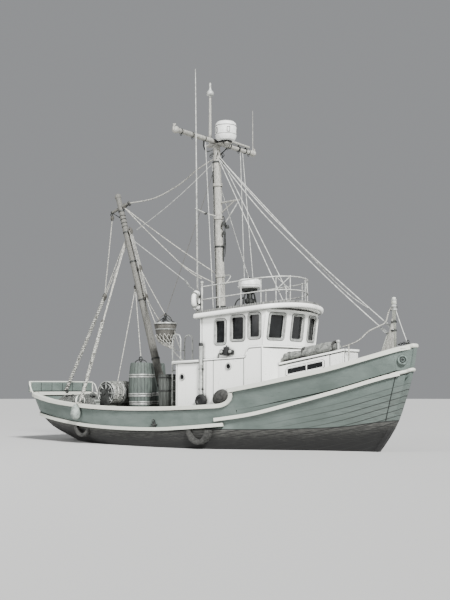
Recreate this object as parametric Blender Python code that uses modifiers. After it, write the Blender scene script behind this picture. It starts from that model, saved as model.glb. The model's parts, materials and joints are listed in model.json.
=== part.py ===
# A 14 m wooden fishing trawler, whole from keel to masthead, as named pieces.
# Metres. +X points to the bow, +Y to port, +Z up. The origin lies on the waterline,
# on the centreline, halfway along the hull.

import math

import bmesh
import bpy
from mathutils import Matrix, Vector

# Driving dimensions of the hull
TRANSOM_X = -7.05          # aft end of the rail
SHEER_LENGTH = 14.0        # from transom to the plank ends at the stem, along the rail
BREAK_X = 2.325            # where the low after bulwark meets the high fore bulwark
SIDING = 0.08              # half thickness of stem, keel and sternpost
PLANK_GAP = 0.0003         # clearance between pieces that touch
SEAT_GAP = 0.0008          # clearance between two curved pieces that lie on each other
BULWARK = 0.07             # thickness of the bulwark planking
CAP_THICK = 0.12           # cap rail
CAP_WIDTH = 0.21
DECK_THICK = 0.045
DECK_CAMBER = 0.05
AFT_BULWARK_HEIGHT = 0.55  # cap top above the main deck's edge
FORE_BULWARK_HEIGHT = 0.60

# Profile of the stern and of the stem: height, then X
STERN_LINE = [(-1.4, -5.3), (-0.35, -5.5), (0.04, -5.94), (0.39, -6.42), (0.61, -6.6),
              (0.9, -6.77), (1.37, -6.96), (1.62, -7.05), (2.1, -7.2)]
STEM_LINE = [(-1.4, 4.2), (-0.9, 4.9), (-0.6, 5.22), (-0.2, 5.58), (0.05, 5.8), (0.42, 6.08),
             (0.84, 6.34), (1.45, 6.58), (2.1, 6.79), (2.9, 6.95), (3.2, 7.0)]

# Lines along the hull: X at the rail, then height or half breadth
RABBET = [(-7.05, -0.35), (-6.3, -0.62), (-5.6, -0.88), (-4.2, -1.14), (-2.4, -1.27),
          (0.0, -1.32), (2.8, -1.3), (4.9, -1.2), (6.0, -1.03), (6.95, -0.6)]
SHEER = [(-7.05, 1.62), (-6.0, 1.46), (-5.0, 1.36), (-3.0, 1.27), (-1.0, 1.28), (0.0, 1.34),
         (1.0, 1.47), (2.2, 1.72), (3.4, 1.97), (5.0, 2.31), (6.0, 2.63), (6.95, 2.95)]
BREADTH = [(-7.05, 1.25), (-6.95, 1.42), (-6.8, 1.55), (-6.5, 1.68), (-6.0, 1.8), (-5.0, 1.96),
           (-4.0, 2.08), (-3.0, 2.16), (-2.0, 2.21), (-1.0, 2.24), (0.0, 2.25), (1.0, 2.24),
           (2.0, 2.19), (3.0, 2.06), (4.0, 1.83), (5.0, 1.47), (5.8, 1.06), (6.4, 0.66),
           (6.8, 0.3), (6.95, 0.09)]
AFT_CAP_TOP = [(-7.05, 1.66), (-6.3, 1.53), (-5.7, 1.43), (-4.9, 1.345), (-4.0, 1.28),
               (-3.0, 1.23), (-1.6, 1.21), (-0.2, 1.23), (0.9, 1.275), (1.75, 1.32), (2.4, 1.4)]
FORE_CAP_TOP = [(2.2, 1.77), (2.94, 1.9), (3.4, 1.99), (5.0, 2.34), (5.75, 2.57), (6.4, 2.79),
                (6.7, 2.9), (7.1, 3.0)]
AFT_STRAKE = [(-7.0, 0.95), (-6.5, 0.89), (-5.4, 0.75), (-4.3, 0.64), (-3.3, 0.575),
              (-1.7, 0.54), (-0.3, 0.56), (1.0, 0.65), (1.7, 0.715), (2.25, 0.76)]
FORE_STRAKE = [(1.6, 0.86), (2.76, 1.04), (4.13, 1.4), (5.33, 1.75), (6.4, 2.1), (7.0, 2.25)]

# Section shapes: share of the height, then share of the half breadth
MID_SECTION = [(0, 0), (0.05, 0.12), (0.15, 0.45), (0.27, 0.72), (0.4, 0.88), (0.5, 0.94),
               (0.65, 0.975), (0.8, 0.99), (1, 1), (1.2, 1.005)]
BOW_SECTION = [(0, 0), (0.15, 0.09), (0.3, 0.22), (0.45, 0.37), (0.6, 0.53), (0.75, 0.7),
               (0.9, 0.88), (1, 1), (1.2, 1.15)]
STERN_SECTION = [(0, 0), (0.1, 0.1), (0.2, 0.24), (0.3, 0.42), (0.4, 0.6), (0.5, 0.74),
                 (0.65, 0.88), (0.8, 0.95), (1, 1), (1.2, 1.03)]

# Deckhouse, wheelhouse and trunk cabin
WALL = 0.06
HOUSE_HALF = 1.42          # outer face of the deckhouse sides
HOUSE_AFT = -0.38
HOUSE_FRONT = 2.88         # where side and front meet
FRONT_BULGE = 0.21         # how far the middle of the front stands ahead of its corners
FRONT_KNEE = 0.47          # half width of the middle front panel
FRONT_RAKE = 0.15          # how far the window band leans forward at its top
WHEEL_AFT = 0.56           # aft wall of the wheelhouse
FLOOR_TOP = 2.15
KNUCKLE_Z = 2.99
TRIM_LINE = [(-0.6, 2.575), (2.24, 2.685), (2.42, 2.97), (2.9, 2.99)]
WINDOW_RADIUS = 0.06
SIDE_WINDOWS = [(1.13, 3.11, 1.5, 3.81), (1.74, 3.2, 2.2, 3.89), (2.39, 3.25, 2.78, 3.94)]

DOOR_HINGE = Vector((-0.43, 0.9, 0.0))
DOOR_FOOT = 0.85
DOOR_HEAD = 2.33

# Rig
MAST_FOOT = Vector((0.33, 0.0, 2.6))
MAST_HEAD = Vector((0.07, 0.0, 9.65))
MAST_FOOT_RADIUS = 0.145
MAST_HEAD_RADIUS = 0.115
YARD_Z = 9.72
YARD_HALF = 2.0
BOOM_PIVOT = Vector((-2.07, 0.0, 1.33))
BOOM_HEAD = Vector((-4.33, 0.0, 8.44))
PLATFORM_TOP = 1.05

# Underwater gear
SHAFT_Z = -1.02
PROPELLER_X = -5.1
RUDDER_X = -5.62


# Small tools

def smooth_step(x):
    x = max(0.0, min(1.0, x))
    return x * x * (3 - 2 * x)


def along(table, x):
    """Value at x on a smooth line through the table's points."""
    if x <= table[0][0]:
        return table[0][1]
    if x >= table[-1][0]:
        return table[-1][1]
    i = max(k for k in range(len(table) - 1) if table[k][0] <= x)

    def slope(k):
        low, high = max(k - 1, 0), min(k + 1, len(table) - 1)
        return (table[high][1] - table[low][1]) / (table[high][0] - table[low][0])

    (x0, y0), (x1, y1) = table[i], table[i + 1]
    span = x1 - x0
    s = (x - x0) / span
    return ((1 + 2 * s) * (1 - s) ** 2 * y0 + s * (1 - s) ** 2 * span * slope(i)
            + s * s * (3 - 2 * s) * y1 + s * s * (s - 1) * span * slope(i + 1))


def straight(table, x):
    """Value at x on straight lines between the table's points."""
    for (x0, y0), (x1, y1) in zip(table, table[1:]):
        if x <= x1:
            return y0 + (y1 - y0) * (x - x0) / (x1 - x0)
    return table[-1][1]


def clear_scene():
    for old in list(bpy.data.objects):
        bpy.data.objects.remove(old, do_unlink=True)


def new_collection(name):
    made = bpy.data.collections.new(name)
    bpy.context.scene.collection.children.link(made)
    return made


def material(name, colour, roughness, metallic=0.0):
    made = bpy.data.materials.get(name)
    if made is None:
        made = bpy.data.materials.new(name)
        made.use_nodes = True
        shader = made.node_tree.nodes["Principled BSDF"]
        shader.inputs["Base Color"].default_value = (*colour, 1.0)
        shader.inputs["Roughness"].default_value = roughness
        shader.inputs["Metallic"].default_value = metallic
    return made


FINISHES = {
    "hull paint": ((0.28, 0.37, 0.34), 0.6, 0.0),
    "bottom paint": ((0.05, 0.052, 0.05), 0.7, 0.0),
    "white paint": ((0.72, 0.72, 0.7), 0.55, 0.0),
    "rail paint": ((0.62, 0.62, 0.57), 0.55, 0.0),
    "grey timber": ((0.2, 0.19, 0.17), 0.8, 0.0),
    "deck timber": ((0.3, 0.27, 0.22), 0.85, 0.0),
    "pole timber": ((0.42, 0.4, 0.35), 0.7, 0.0),
    "cask wood": ((0.25, 0.3, 0.27), 0.75, 0.0),
    "galvanised steel": ((0.5, 0.5, 0.48), 0.45, 0.8),
    "dark steel": ((0.06, 0.06, 0.06), 0.5, 0.7),
    "bronze": ((0.45, 0.3, 0.14), 0.35, 0.9),
    "rubber": ((0.03, 0.03, 0.03), 0.8, 0.0),
    "glass": ((0.02, 0.025, 0.03), 0.08, 0.0),
    "white plastic": ((0.8, 0.8, 0.78), 0.35, 0.0),
    "canvas": ((0.2, 0.21, 0.19), 0.9, 0.0),
}


def link(name, mesh, finish, collection=None):
    made = bpy.data.objects.new(name, mesh)
    (collection or TRAWLER).objects.link(made)
    if finish:
        mesh.materials.clear()
        mesh.materials.append(material(finish, *FINISHES[finish]))
    return made


def mesh_from(work, name):
    bmesh.ops.recalc_face_normals(work, faces=work.faces)
    mesh = bpy.data.meshes.new(name)
    work.to_mesh(mesh)
    work.free()
    return mesh


def loft(name, rings, finish, collection=None):
    """A closed body through rings that all have the same number of points."""
    work = bmesh.new()
    rows = [[work.verts.new(p) for p in ring] for ring in rings]
    count = len(rings[0])
    for a, b in zip(rows, rows[1:]):
        for i in range(count):
            j = (i + 1) % count
            work.faces.new((a[i], a[j], b[j], b[i]))
    for end in (rows[0], rows[-1]):
        if count % 2:
            work.faces.new(end)
            continue
        for i in range(count // 2 - 1):
            work.faces.new((end[i], end[i + 1], end[count - 2 - i], end[count - 1 - i]))
    bmesh.ops.triangulate(work, faces=work.faces)
    return link(name, mesh_from(work, name), finish, collection)


def prism(name, outline, bottom, top, finish, collection=None):
    """A plan outline, raised between two heights that may change with the place."""
    rings = [[(x, y, height(x, y)) for x, y in outline] for height in (bottom, top)]
    return loft(name, rings, finish, collection)


def box(name, low, high, finish, collection=None):
    work = bmesh.new()
    bmesh.ops.create_cube(work, size=1.0)
    low, high = Vector(low), Vector(high)
    bmesh.ops.scale(work, vec=high - low, verts=work.verts)
    bmesh.ops.translate(work, vec=(low + high) / 2, verts=work.verts)
    return link(name, mesh_from(work, name), finish, collection)


def cone(name, start, end, radius_start, radius_end, finish, sides=16, collection=None):
    """A round bar, a tapered pole or a cone between two points."""
    start, end = Vector(start), Vector(end)
    work = bmesh.new()
    bmesh.ops.create_cone(work, cap_ends=True, segments=sides, radius1=radius_start,
                          radius2=radius_end, depth=(end - start).length)
    turn = (end - start).to_track_quat("Z", "Y").to_matrix().to_4x4()
    bmesh.ops.transform(work, matrix=Matrix.Translation((start + end) / 2) @ turn,
                        verts=work.verts)
    return link(name, mesh_from(work, name), finish, collection)


def ball(name, centre, radius, finish, squash=1.0, collection=None):
    work = bmesh.new()
    bmesh.ops.create_uvsphere(work, u_segments=12, v_segments=7, radius=radius)
    bmesh.ops.scale(work, vec=(1, 1, squash), verts=work.verts)
    bmesh.ops.translate(work, vec=Vector(centre), verts=work.verts)
    return link(name, mesh_from(work, name), finish, collection)


def evaluated_mesh(obj):
    bpy.context.view_layer.update()
    graph = bpy.context.evaluated_depsgraph_get()
    mesh = bpy.data.meshes.new_from_object(obj.evaluated_get(graph))
    mesh.transform(obj.matrix_world)
    work = bmesh.new()
    work.from_mesh(mesh)
    bmesh.ops.remove_doubles(work, verts=work.verts, dist=1e-5)
    work.to_mesh(mesh)
    work.free()
    return mesh


def as_mesh(obj, finish):
    """The object with its modifiers or its curve made into a plain mesh."""
    name = obj.name
    mesh = evaluated_mesh(obj)
    bpy.data.objects.remove(obj, do_unlink=True)
    return link(name, mesh, finish)


def turned(name, profile, place, finish, steps=20):
    """A profile of (radius, height) pairs, top to bottom, turned about a vertical line."""
    mesh = bpy.data.meshes.new(name)
    mesh.from_pydata([(r, 0, z) for r, z in profile], [(i, i + 1) for i in range(len(profile) - 1)],
                     [])
    made = link(name, mesh, finish)
    screw = made.modifiers.new("Turn", "SCREW")
    screw.steps = steps
    screw.render_steps = steps
    screw.use_merge_vertices = True
    screw.merge_threshold = 0.0001
    screw.use_smooth_shade = True
    made.location = place
    return made


def tube(name, points, radius, finish, sides=1, closed=False):
    """A round bar bent through points."""
    curve = bpy.data.curves.new(name, "CURVE")
    curve.dimensions = "3D"
    curve.bevel_depth = radius
    curve.bevel_resolution = sides
    curve.use_fill_caps = not closed
    line = curve.splines.new("POLY")
    line.points.add(len(points) - 1)
    for point, place in zip(line.points, points):
        point.co = (*place, 1.0)
    line.use_cyclic_u = closed
    made = bpy.data.objects.new(name, curve)
    TRAWLER.objects.link(made)
    return as_mesh(made, finish)


def rounded_rectangle(low_x, low_y, high_x, high_y, radius, steps=3):
    corners = [(high_x - radius, high_y - radius, 0), (low_x + radius, high_y - radius, 90),
               (low_x + radius, low_y + radius, 180), (high_x - radius, low_y + radius, 270)]
    points = []
    for cx, cy, start in corners:
        for step in range(steps + 1):
            angle = math.radians(start + 90 * step / steps)
            points.append((cx + radius * math.cos(angle), cy + radius * math.sin(angle)))
    return points


def circle(cx, cy, radius, count=16):
    angles = [2 * math.pi * i / count for i in range(count)]
    return [(cx + radius * math.cos(a), cy + radius * math.sin(a)) for a in angles]


def panel(name, outlines, thick, finish, matrix, collection=None):
    """A flat outline with its holes, thick metres thick, laid out by a matrix."""
    curve = bpy.data.curves.new(name, "CURVE")
    curve.dimensions = "2D"
    curve.fill_mode = "BOTH"
    curve.extrude = thick / 2
    for outline in outlines:
        line = curve.splines.new("POLY")
        line.points.add(len(outline) - 1)
        for point, (x, y) in zip(line.points, outline):
            point.co = (x, y, 0.0, 1.0)
        line.use_cyclic_u = True
    made = bpy.data.objects.new(name, curve)
    TRAWLER.objects.link(made)
    made.matrix_world = matrix
    mesh = evaluated_mesh(made)
    bpy.data.objects.remove(made, do_unlink=True)
    return link(name, mesh, finish, collection)


def upright_along_x(y):
    """Outline (x, z) stands in a plane of constant y."""
    return Matrix.Translation((0, y, 0)) @ Matrix.Rotation(math.pi / 2, 4, "X")


def upright_across(x):
    """Outline (y, z) stands in a plane of constant x."""
    return Matrix.Translation((x, 0, 0)) @ Matrix(((0, 0, 1, 0), (1, 0, 0, 0), (0, 1, 0, 0),
                                                  (0, 0, 0, 1)))


def combine(target, others, operation, finish, use_self=False):
    """Joins others to target, or cuts them from it, and leaves one plain mesh."""
    for other in others:
        step = target.modifiers.new(operation.title(), "BOOLEAN")
        step.operation = operation
        step.solver = "EXACT"
        step.use_self = use_self
        step.object = other
    done = as_mesh(target, finish)
    for other in others:
        bpy.data.objects.remove(other, do_unlink=True)
    return done


def mirror_to_port(obj, finish):
    """The starboard half, cut at the centreline and repeated to port."""
    mirror = obj.modifiers.new("Port side", "MIRROR")
    mirror.use_axis = (False, True, False)
    mirror.use_bisect_axis = (False, True, False)
    mirror.use_bisect_flip_axis = (False, True, False)
    mirror.use_clip = True
    mirror.merge_threshold = 0.0001
    return as_mesh(obj, finish)


def grown_copy(obj, gap):
    """A copy of the piece that stands out by gap all over, to cut its neighbours with."""
    mesh = evaluated_mesh(obj)
    work = bmesh.new()
    work.from_mesh(mesh)
    bmesh.ops.recalc_face_normals(work, faces=work.faces)
    work.normal_update()
    moves = [v.normal * gap * min(v.calc_shell_factor(), 2.5) for v in work.verts]
    for v, move in zip(work.verts, moves):
        v.co += move
    work.to_mesh(mesh)
    work.free()
    return link(obj.name + " grown", mesh, None)


def islands(work):
    """The connected groups of faces."""
    left = set(work.faces)
    groups = []
    while left:
        stack = [left.pop()]
        group = list(stack)
        while stack:
            for edge in stack.pop().edges:
                for face in edge.link_faces:
                    if face in left:
                        left.remove(face)
                        group.append(face)
                        stack.append(face)
        groups.append(group)
    return groups


def drop_chips(obj):
    """Keeps only the largest of the bodies that a cut left."""
    work = bmesh.new()
    work.from_mesh(obj.data)
    groups = sorted(islands(work), key=lambda g: sum(f.calc_area() for f in g))
    for group in groups[:-1]:
        bmesh.ops.delete(work, geom=group, context="FACES")
    work.to_mesh(obj.data)
    work.free()


def fitted(obj, neighbours, finish, gap=0.0004):
    """The piece scribed to its neighbours, with a hair's clearance."""
    cutters = [grown_copy(bpy.data.objects[n], gap) for n in neighbours]
    done = combine(obj, cutters, "DIFFERENCE", finish, True)
    drop_chips(done)
    return done


def flipped_copy(obj, name, finish):
    """The same piece on the port side."""
    mesh = obj.data.copy()
    mesh.transform(Matrix.Scale(-1, 4, (0, 1, 0)))
    work = bmesh.new()
    work.from_mesh(mesh)
    bmesh.ops.recalc_face_normals(work, faces=work.faces)
    work.to_mesh(mesh)
    work.free()
    return link(name, mesh, finish)


# The shape of the hull

def hull_x(share, z):
    """X of the point a share of the way from stern to stem at height z."""
    stern, stem = along(STERN_LINE, z), along(STEM_LINE, z)
    return stern + share * (stem - stern)


def half_breadth(x, z):
    """Half breadth of the planking's outer face."""
    stern, stem = along(STERN_LINE, z), along(STEM_LINE, z)
    share = max(0.0, min(1.0, (x - stern) / (stem - stern)))
    at_rail = TRANSOM_X + SHEER_LENGTH * share
    low, high = along(RABBET, at_rail), along(SHEER, at_rail)
    level = max(0.0, (z - low) / (high - low))
    to_bow = smooth_step((share - 0.5) / 0.5)
    to_stern = smooth_step((0.42 - share) / 0.42)
    ratio = (to_bow * along(BOW_SECTION, level) + to_stern * along(STERN_SECTION, level)
             + (1 - to_bow - to_stern) * along(MID_SECTION, level))
    return SIDING + (along(BREADTH, at_rail) - SIDING) * max(0.0, ratio)


def deck_edge(x):
    """Height of the deck planks' top at the ship's side."""
    if x < BREAK_X:
        return along(AFT_CAP_TOP, x) - AFT_BULWARK_HEIGHT
    return along(FORE_CAP_TOP, x) - FORE_BULWARK_HEIGHT


def deck_z(x, y):
    """Top of the deck planks, with its camber."""
    edge = deck_edge(x)
    share = min(1.0, abs(y) / max(half_breadth(x, edge), 0.1))
    return edge + DECK_CAMBER * (1 - share * share)


def frange(start, end, count):
    return [start + (end - start) * i / (count - 1) for i in range(count)]


STATIONS = ([0.0, 0.006, 0.016, 0.035, 0.06] + frange(0.1, 0.64, 13)
            + frange(0.7, 0.94, 7) + [0.965, 0.985, 1.0])
ACROSS = (0.75, 0.4, 0.0, -0.4, -0.75)


def hull_ring(share, top_at_edge):
    """One section of the solid hull, from starboard deck edge under the keel to port."""
    at_rail = TRANSOM_X + SHEER_LENGTH * share
    low = along(RABBET, at_rail)
    levels = [1.0, 0.88, 0.76, 0.64, 0.52, 0.41, 0.31, 0.22, 0.14, 0.07, 0.0]
    heights = [low + (top_at_edge - low) * level for level in levels]
    side = [(hull_x(share, z), half_breadth(hull_x(share, z), z), z) for z in heights]
    starboard = [(x, -y, z) for x, y, z in side]
    port = [(x, y, z) for x, y, z in reversed(side)]
    edge_x, edge_y, edge_z = side[0]
    deck = [(edge_x, edge_y * s, edge_z + DECK_CAMBER * (1 - s * s)) for s in ACROSS]
    return starboard + port + deck


def make_hull():
    break_share = (BREAK_X - hull_x(0, 1.0)) / (hull_x(1, 1.0) - hull_x(0, 1.0))
    low_side = break_share - 0.003
    shares = sorted([s for s in STATIONS if abs(s - break_share) > 0.01]
                    + [low_side, break_share + 0.001])
    rings = []
    for share in shares:
        x = hull_x(share, 1.0)
        for _ in range(4):
            fore = share > break_share
            cap = FORE_CAP_TOP if fore else AFT_CAP_TOP
            drop = FORE_BULWARK_HEIGHT if fore else AFT_BULWARK_HEIGHT
            top = along(cap, x) - drop - DECK_THICK
            x = hull_x(share, top)
        rings.append(hull_ring(share, top))
    hull = loft("hull", rings, "hull paint")
    hull.data.shade_smooth()
    hull.data.set_sharp_from_angle(angle=math.radians(35))
    return hull


def make_deck(name, start, end, count, back_off):
    """Deck planks between the bulwarks, resting on the hull."""
    rings = []
    for x in frange(start, end, count):
        edge = deck_edge(x)
        half = half_breadth(x, edge - DECK_THICK) - BULWARK / max(0.35, back_off(x)) - 0.004
        share_of = [1.0, 0.75, 0.4, 0.0, -0.4, -0.75, -1.0]
        full = half_breadth(x, edge)
        rise = [DECK_CAMBER * (1 - (half * s / full) ** 2) for s in share_of]
        top = [(x, half * s, edge + r) for s, r in zip(share_of, rise)]
        under = [(x, half * s, edge + r - DECK_THICK - 0.004)
                 for s, r in zip(share_of, rise)]
        rings.append(top + under[::-1])
    return loft(name, rings, "deck timber")


# Rails, strakes and bulwarks follow the planking

def rail_point(share, table, drop):
    x = hull_x(share, 1.3)
    for _ in range(5):
        z = along(table, x) - drop
        x = hull_x(share, z)
    return x, z


def side_path(table, drop, shares):
    """Points (x, z) along the ship's side at a height from a table."""
    return [rail_point(share, table, drop) for share in shares]


def side_frames(path):
    """For each path point on the starboard planking: place, outward and up vectors."""
    places = [Vector((x, -half_breadth(x, z), z)) for x, z in path]
    frames = []
    for i, place in enumerate(places):
        ahead = (places[min(i + 1, len(places) - 1)] - places[max(i - 1, 0)]).normalized()
        x, z = path[i]
        slope = (half_breadth(x + 0.01, z) - half_breadth(x - 0.01, z)) / 0.02
        out = Vector((-slope, -1, 0)).normalized()
        frames.append((place, out, out.cross(ahead).normalized()))
    return frames


def swept(name, frames, inner, outer, low, high, finish):
    """A rectangular timber along frames: inner and outer are distances from the planking."""
    rings = []
    for place, out, up in frames:
        rings.append([place + out * o + up * u
                      for o, u in ((outer, low), (outer, high), (inner, high), (inner, low))])
    return loft(name, rings, finish)


def transom_frames(z, half, upward=Vector((0, 0, 1))):
    """Frames across the flat of the transom, to just past the centreline."""
    x = hull_x(0, z)
    return [(Vector((x, y, z)), Vector((-1, 0, 0)), upward)
            for y in (-half * 0.97, -half * 0.5, 0.08)]


AFT_SHARES = [0.0, 0.006, 0.016, 0.035, 0.06] + frange(0.1, 0.6, 13)
S_CURVE = (Vector((1.72, 1.258)), Vector((2.04, 1.275)), Vector((2.255, 1.4)),
           Vector((2.262, 1.648)))


def s_curve_points(offset, count=8):
    """The rail's sweep up to the fore bulwark, shifted square to itself by offset."""
    points = []
    a, b, c, d = S_CURVE
    for s in frange(0.0, 1.0, count):
        spot = (a * (1 - s) ** 3 + b * 3 * s * (1 - s) ** 2 + c * 3 * s * s * (1 - s)
                + d * s ** 3)
        run = ((b - a) * (1 - s) ** 2 + (c - b) * 2 * s * (1 - s) + (d - c) * s * s)
        run.normalize()
        points.append((spot.x - run.y * offset, spot.y + run.x * offset))
    return points


def aft_rail_path(offset):
    path = side_path(AFT_CAP_TOP, CAP_THICK / 2 - offset, AFT_SHARES)
    path = [p for p in path if p[0] < S_CURVE[0].x - 0.15]
    return path + s_curve_points(offset)


def with_transom(path):
    frames = side_frames(path)
    z = path[0][1]
    half = half_breadth(hull_x(0, z), z)
    place, out, up = frames[0]
    frames[0] = (place, (out + Vector((-1, 0, 0))).normalized(), up)
    return transom_frames(z, half)[::-1] + frames


def make_aft_cap():
    outer = 0.055
    half = swept("cap_rail_aft", with_transom(aft_rail_path(0.0)), outer - CAP_WIDTH, outer,
                 -CAP_THICK / 2, CAP_THICK / 2, "rail paint")
    return mirror_to_port(half, "rail paint")


def make_aft_bulwark():
    path = aft_rail_path(0.01 - CAP_THICK / 2)
    path = [p for p in path if p[0] < BREAK_X - 0.001]
    path.append((BREAK_X - 0.0006, 1.6))
    rings = []
    frames = with_transom(path)
    for place, out, _ in frames:
        x, z = place.x, place.z
        foot_z = deck_edge(max(x, -6.9)) - DECK_THICK + 0.003
        share = (x - hull_x(0, z)) / (hull_x(1, z) - hull_x(0, z))
        foot_x = hull_x(max(share, 0.0), foot_z)
        if share < 1e-6:
            head_half = half_breadth(hull_x(0, z), z)
            foot_y = place.y * half_breadth(hull_x(0, foot_z), foot_z) / head_half
        else:
            foot_y = -half_breadth(foot_x, foot_z)
        if x > 1.6:
            foot_x, foot_y = x, -half_breadth(x, foot_z)
        foot = Vector((foot_x, foot_y, foot_z))
        inward = -out * BULWARK
        rings.append([foot, place, place + inward, foot + inward])
    half = loft("bulwark_aft", rings, "hull paint")
    whole = mirror_to_port(half, "hull paint")
    return fitted(whole, ["hull", "cap_rail_aft"], "hull paint")


def fore_frames(table, drop, start, past_stem):
    """Frames from the break to just past the centreline ahead of the stem."""
    first = (start - hull_x(0, 1.7)) / (hull_x(1, 1.7) - hull_x(0, 1.7))
    shares = frange(first, 0.94, 12) + [0.965, 0.985, 0.998]
    path = side_path(table, drop, shares)
    frames = side_frames(path)
    place, out, up = frames[-1]
    tip = Vector((place.x + past_stem, 0.06, place.z + past_stem * 0.3))
    return frames + [(tip, out, up)]


def make_fore_cap():
    outer = 0.055
    frames = fore_frames(FORE_CAP_TOP, CAP_THICK / 2, 2.2, 0.1)
    half = swept("cap_rail_fore", frames, outer - CAP_WIDTH, outer, -CAP_THICK / 2,
                 CAP_THICK / 2, "rail paint")
    whole = mirror_to_port(half, "rail paint")
    return fitted(whole, ["cap_rail_aft"], "rail paint")


def make_fore_bulwark():
    frames = fore_frames(FORE_CAP_TOP, CAP_THICK - 0.01, BREAK_X, 0.0)[:-1]
    rings = []
    for i, (place, out, _) in enumerate(frames):
        foot_z = deck_edge(max(place.x, BREAK_X)) - DECK_THICK + 0.003
        share = (place.x - hull_x(0, place.z)) / (hull_x(1, place.z) - hull_x(0, place.z))
        foot_x = hull_x(share, foot_z) if i else place.x
        foot_x += (place.x - foot_x) * (1 - smooth_step((place.x - 2.3) / 1.5))
        foot = Vector((foot_x, -half_breadth(foot_x, foot_z), foot_z))
        inward = -out * BULWARK
        rings.append([foot, place, place + inward, foot + inward])
    last = [Vector((p.x + 0.0, 0.05, p.z)) for p in rings[-1]]
    rings.append(last)
    half = loft("bulwark_fore", rings, "hull paint")
    whole = mirror_to_port(half, "hull paint")
    return fitted(whole, ["hull", "cap_rail_aft", "cap_rail_fore", "bulwark_aft", "stem"],
                  "hull paint")


def make_strakes():
    thick, high = 0.075, 0.1
    path = side_path(AFT_STRAKE, 0.0, AFT_SHARES + [0.64, 0.66])
    half = swept("rub_strake_aft", with_transom(path), -0.012, thick, -high / 2, high / 2,
                 "rail paint")
    whole = mirror_to_port(half, "rail paint")
    planking = ["hull", "bulwark_aft", "bulwark_fore"]
    fitted(whole, planking, "rail paint", 0.0009)
    first = (1.62 - hull_x(0, 0.8)) / (hull_x(1, 0.8) - hull_x(0, 0.8))
    path = side_path(FORE_STRAKE, 0.0, frange(first, 0.94, 14) + [0.97, 0.99])
    starboard = swept("rub_strake_fore_starboard", side_frames(path), -0.012, thick,
                      -high / 2, high / 2, "rail paint")
    starboard = fitted(starboard, planking + ["stem"], "rail paint")
    flipped_copy(starboard, "rub_strake_fore_port", "rail paint")


def make_backbone():
    """Stem, and keel with deadwood and heel, which stand outside the planking."""
    heights = frange(-0.6, 2.9, 15)
    aft = [(along(STEM_LINE, z) - 0.01, z) for z in heights]
    fore = [(along(STEM_LINE, z) + 0.13, z) for z in reversed(heights)]
    stem = panel("stem", [aft + fore], 2 * SIDING, "hull paint", upright_along_x(0))
    fitted(stem, ["hull", "cap_rail_fore"], "hull paint")
    bottom = []
    for share in frange(0.0, 1.0, 22):
        at_rail = TRANSOM_X + SHEER_LENGTH * share
        z = along(RABBET, at_rail)
        bottom.append((hull_x(share, z), z + 0.01))
    bottom = [p for p in bottom if p[0] > -4.75]
    forefoot = bottom[-1]
    outline = ([(-5.86, -1.72), (-5.86, -1.61), (-5.0, -1.61), (-4.86, -1.5),
                (-4.84, -0.72)] + bottom
               + [(forefoot[0] + 0.13, forefoot[1] - 0.02), (5.0, -1.0), (4.4, -1.32),
                  (3.2, -1.55), (1.0, -1.66), (-2.0, -1.72)])
    keel = panel("keel", [outline], 2 * SIDING - 0.002, "bottom paint", upright_along_x(0))
    fitted(keel, ["hull", "stem"], "bottom paint")
    for name, finish in (("keel", "bottom paint"), ("hull", "hull paint")):
        bore = cone("bore", (-5.2, 0, SHAFT_Z), (-3.2, 0, SHAFT_Z), 0.0464, 0.0464, None, 24)
        cut_with(bpy.data.objects[name], [bore], finish)


def cut_with(target, cutters, finish):
    return combine(target, cutters, "DIFFERENCE", finish)


def join(target, others, finish):
    return combine(target, others, "UNION", finish)


# Superstructure

def trim_z(x):
    return straight(TRIM_LINE, x)


def roof_under(x):
    return 3.9 + 0.062 * (x - 0.33)


def foot_line(y, xs):
    """The walls' foot on the decks, stepping up ahead of the break."""
    points = []
    for x in xs:
        if x < BREAK_X - 0.065:
            z = deck_z(x, y)
        else:
            z = deck_z(max(x, BREAK_X + 0.01), y)
        points.append((x, z - 0.012))
    return points


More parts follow.
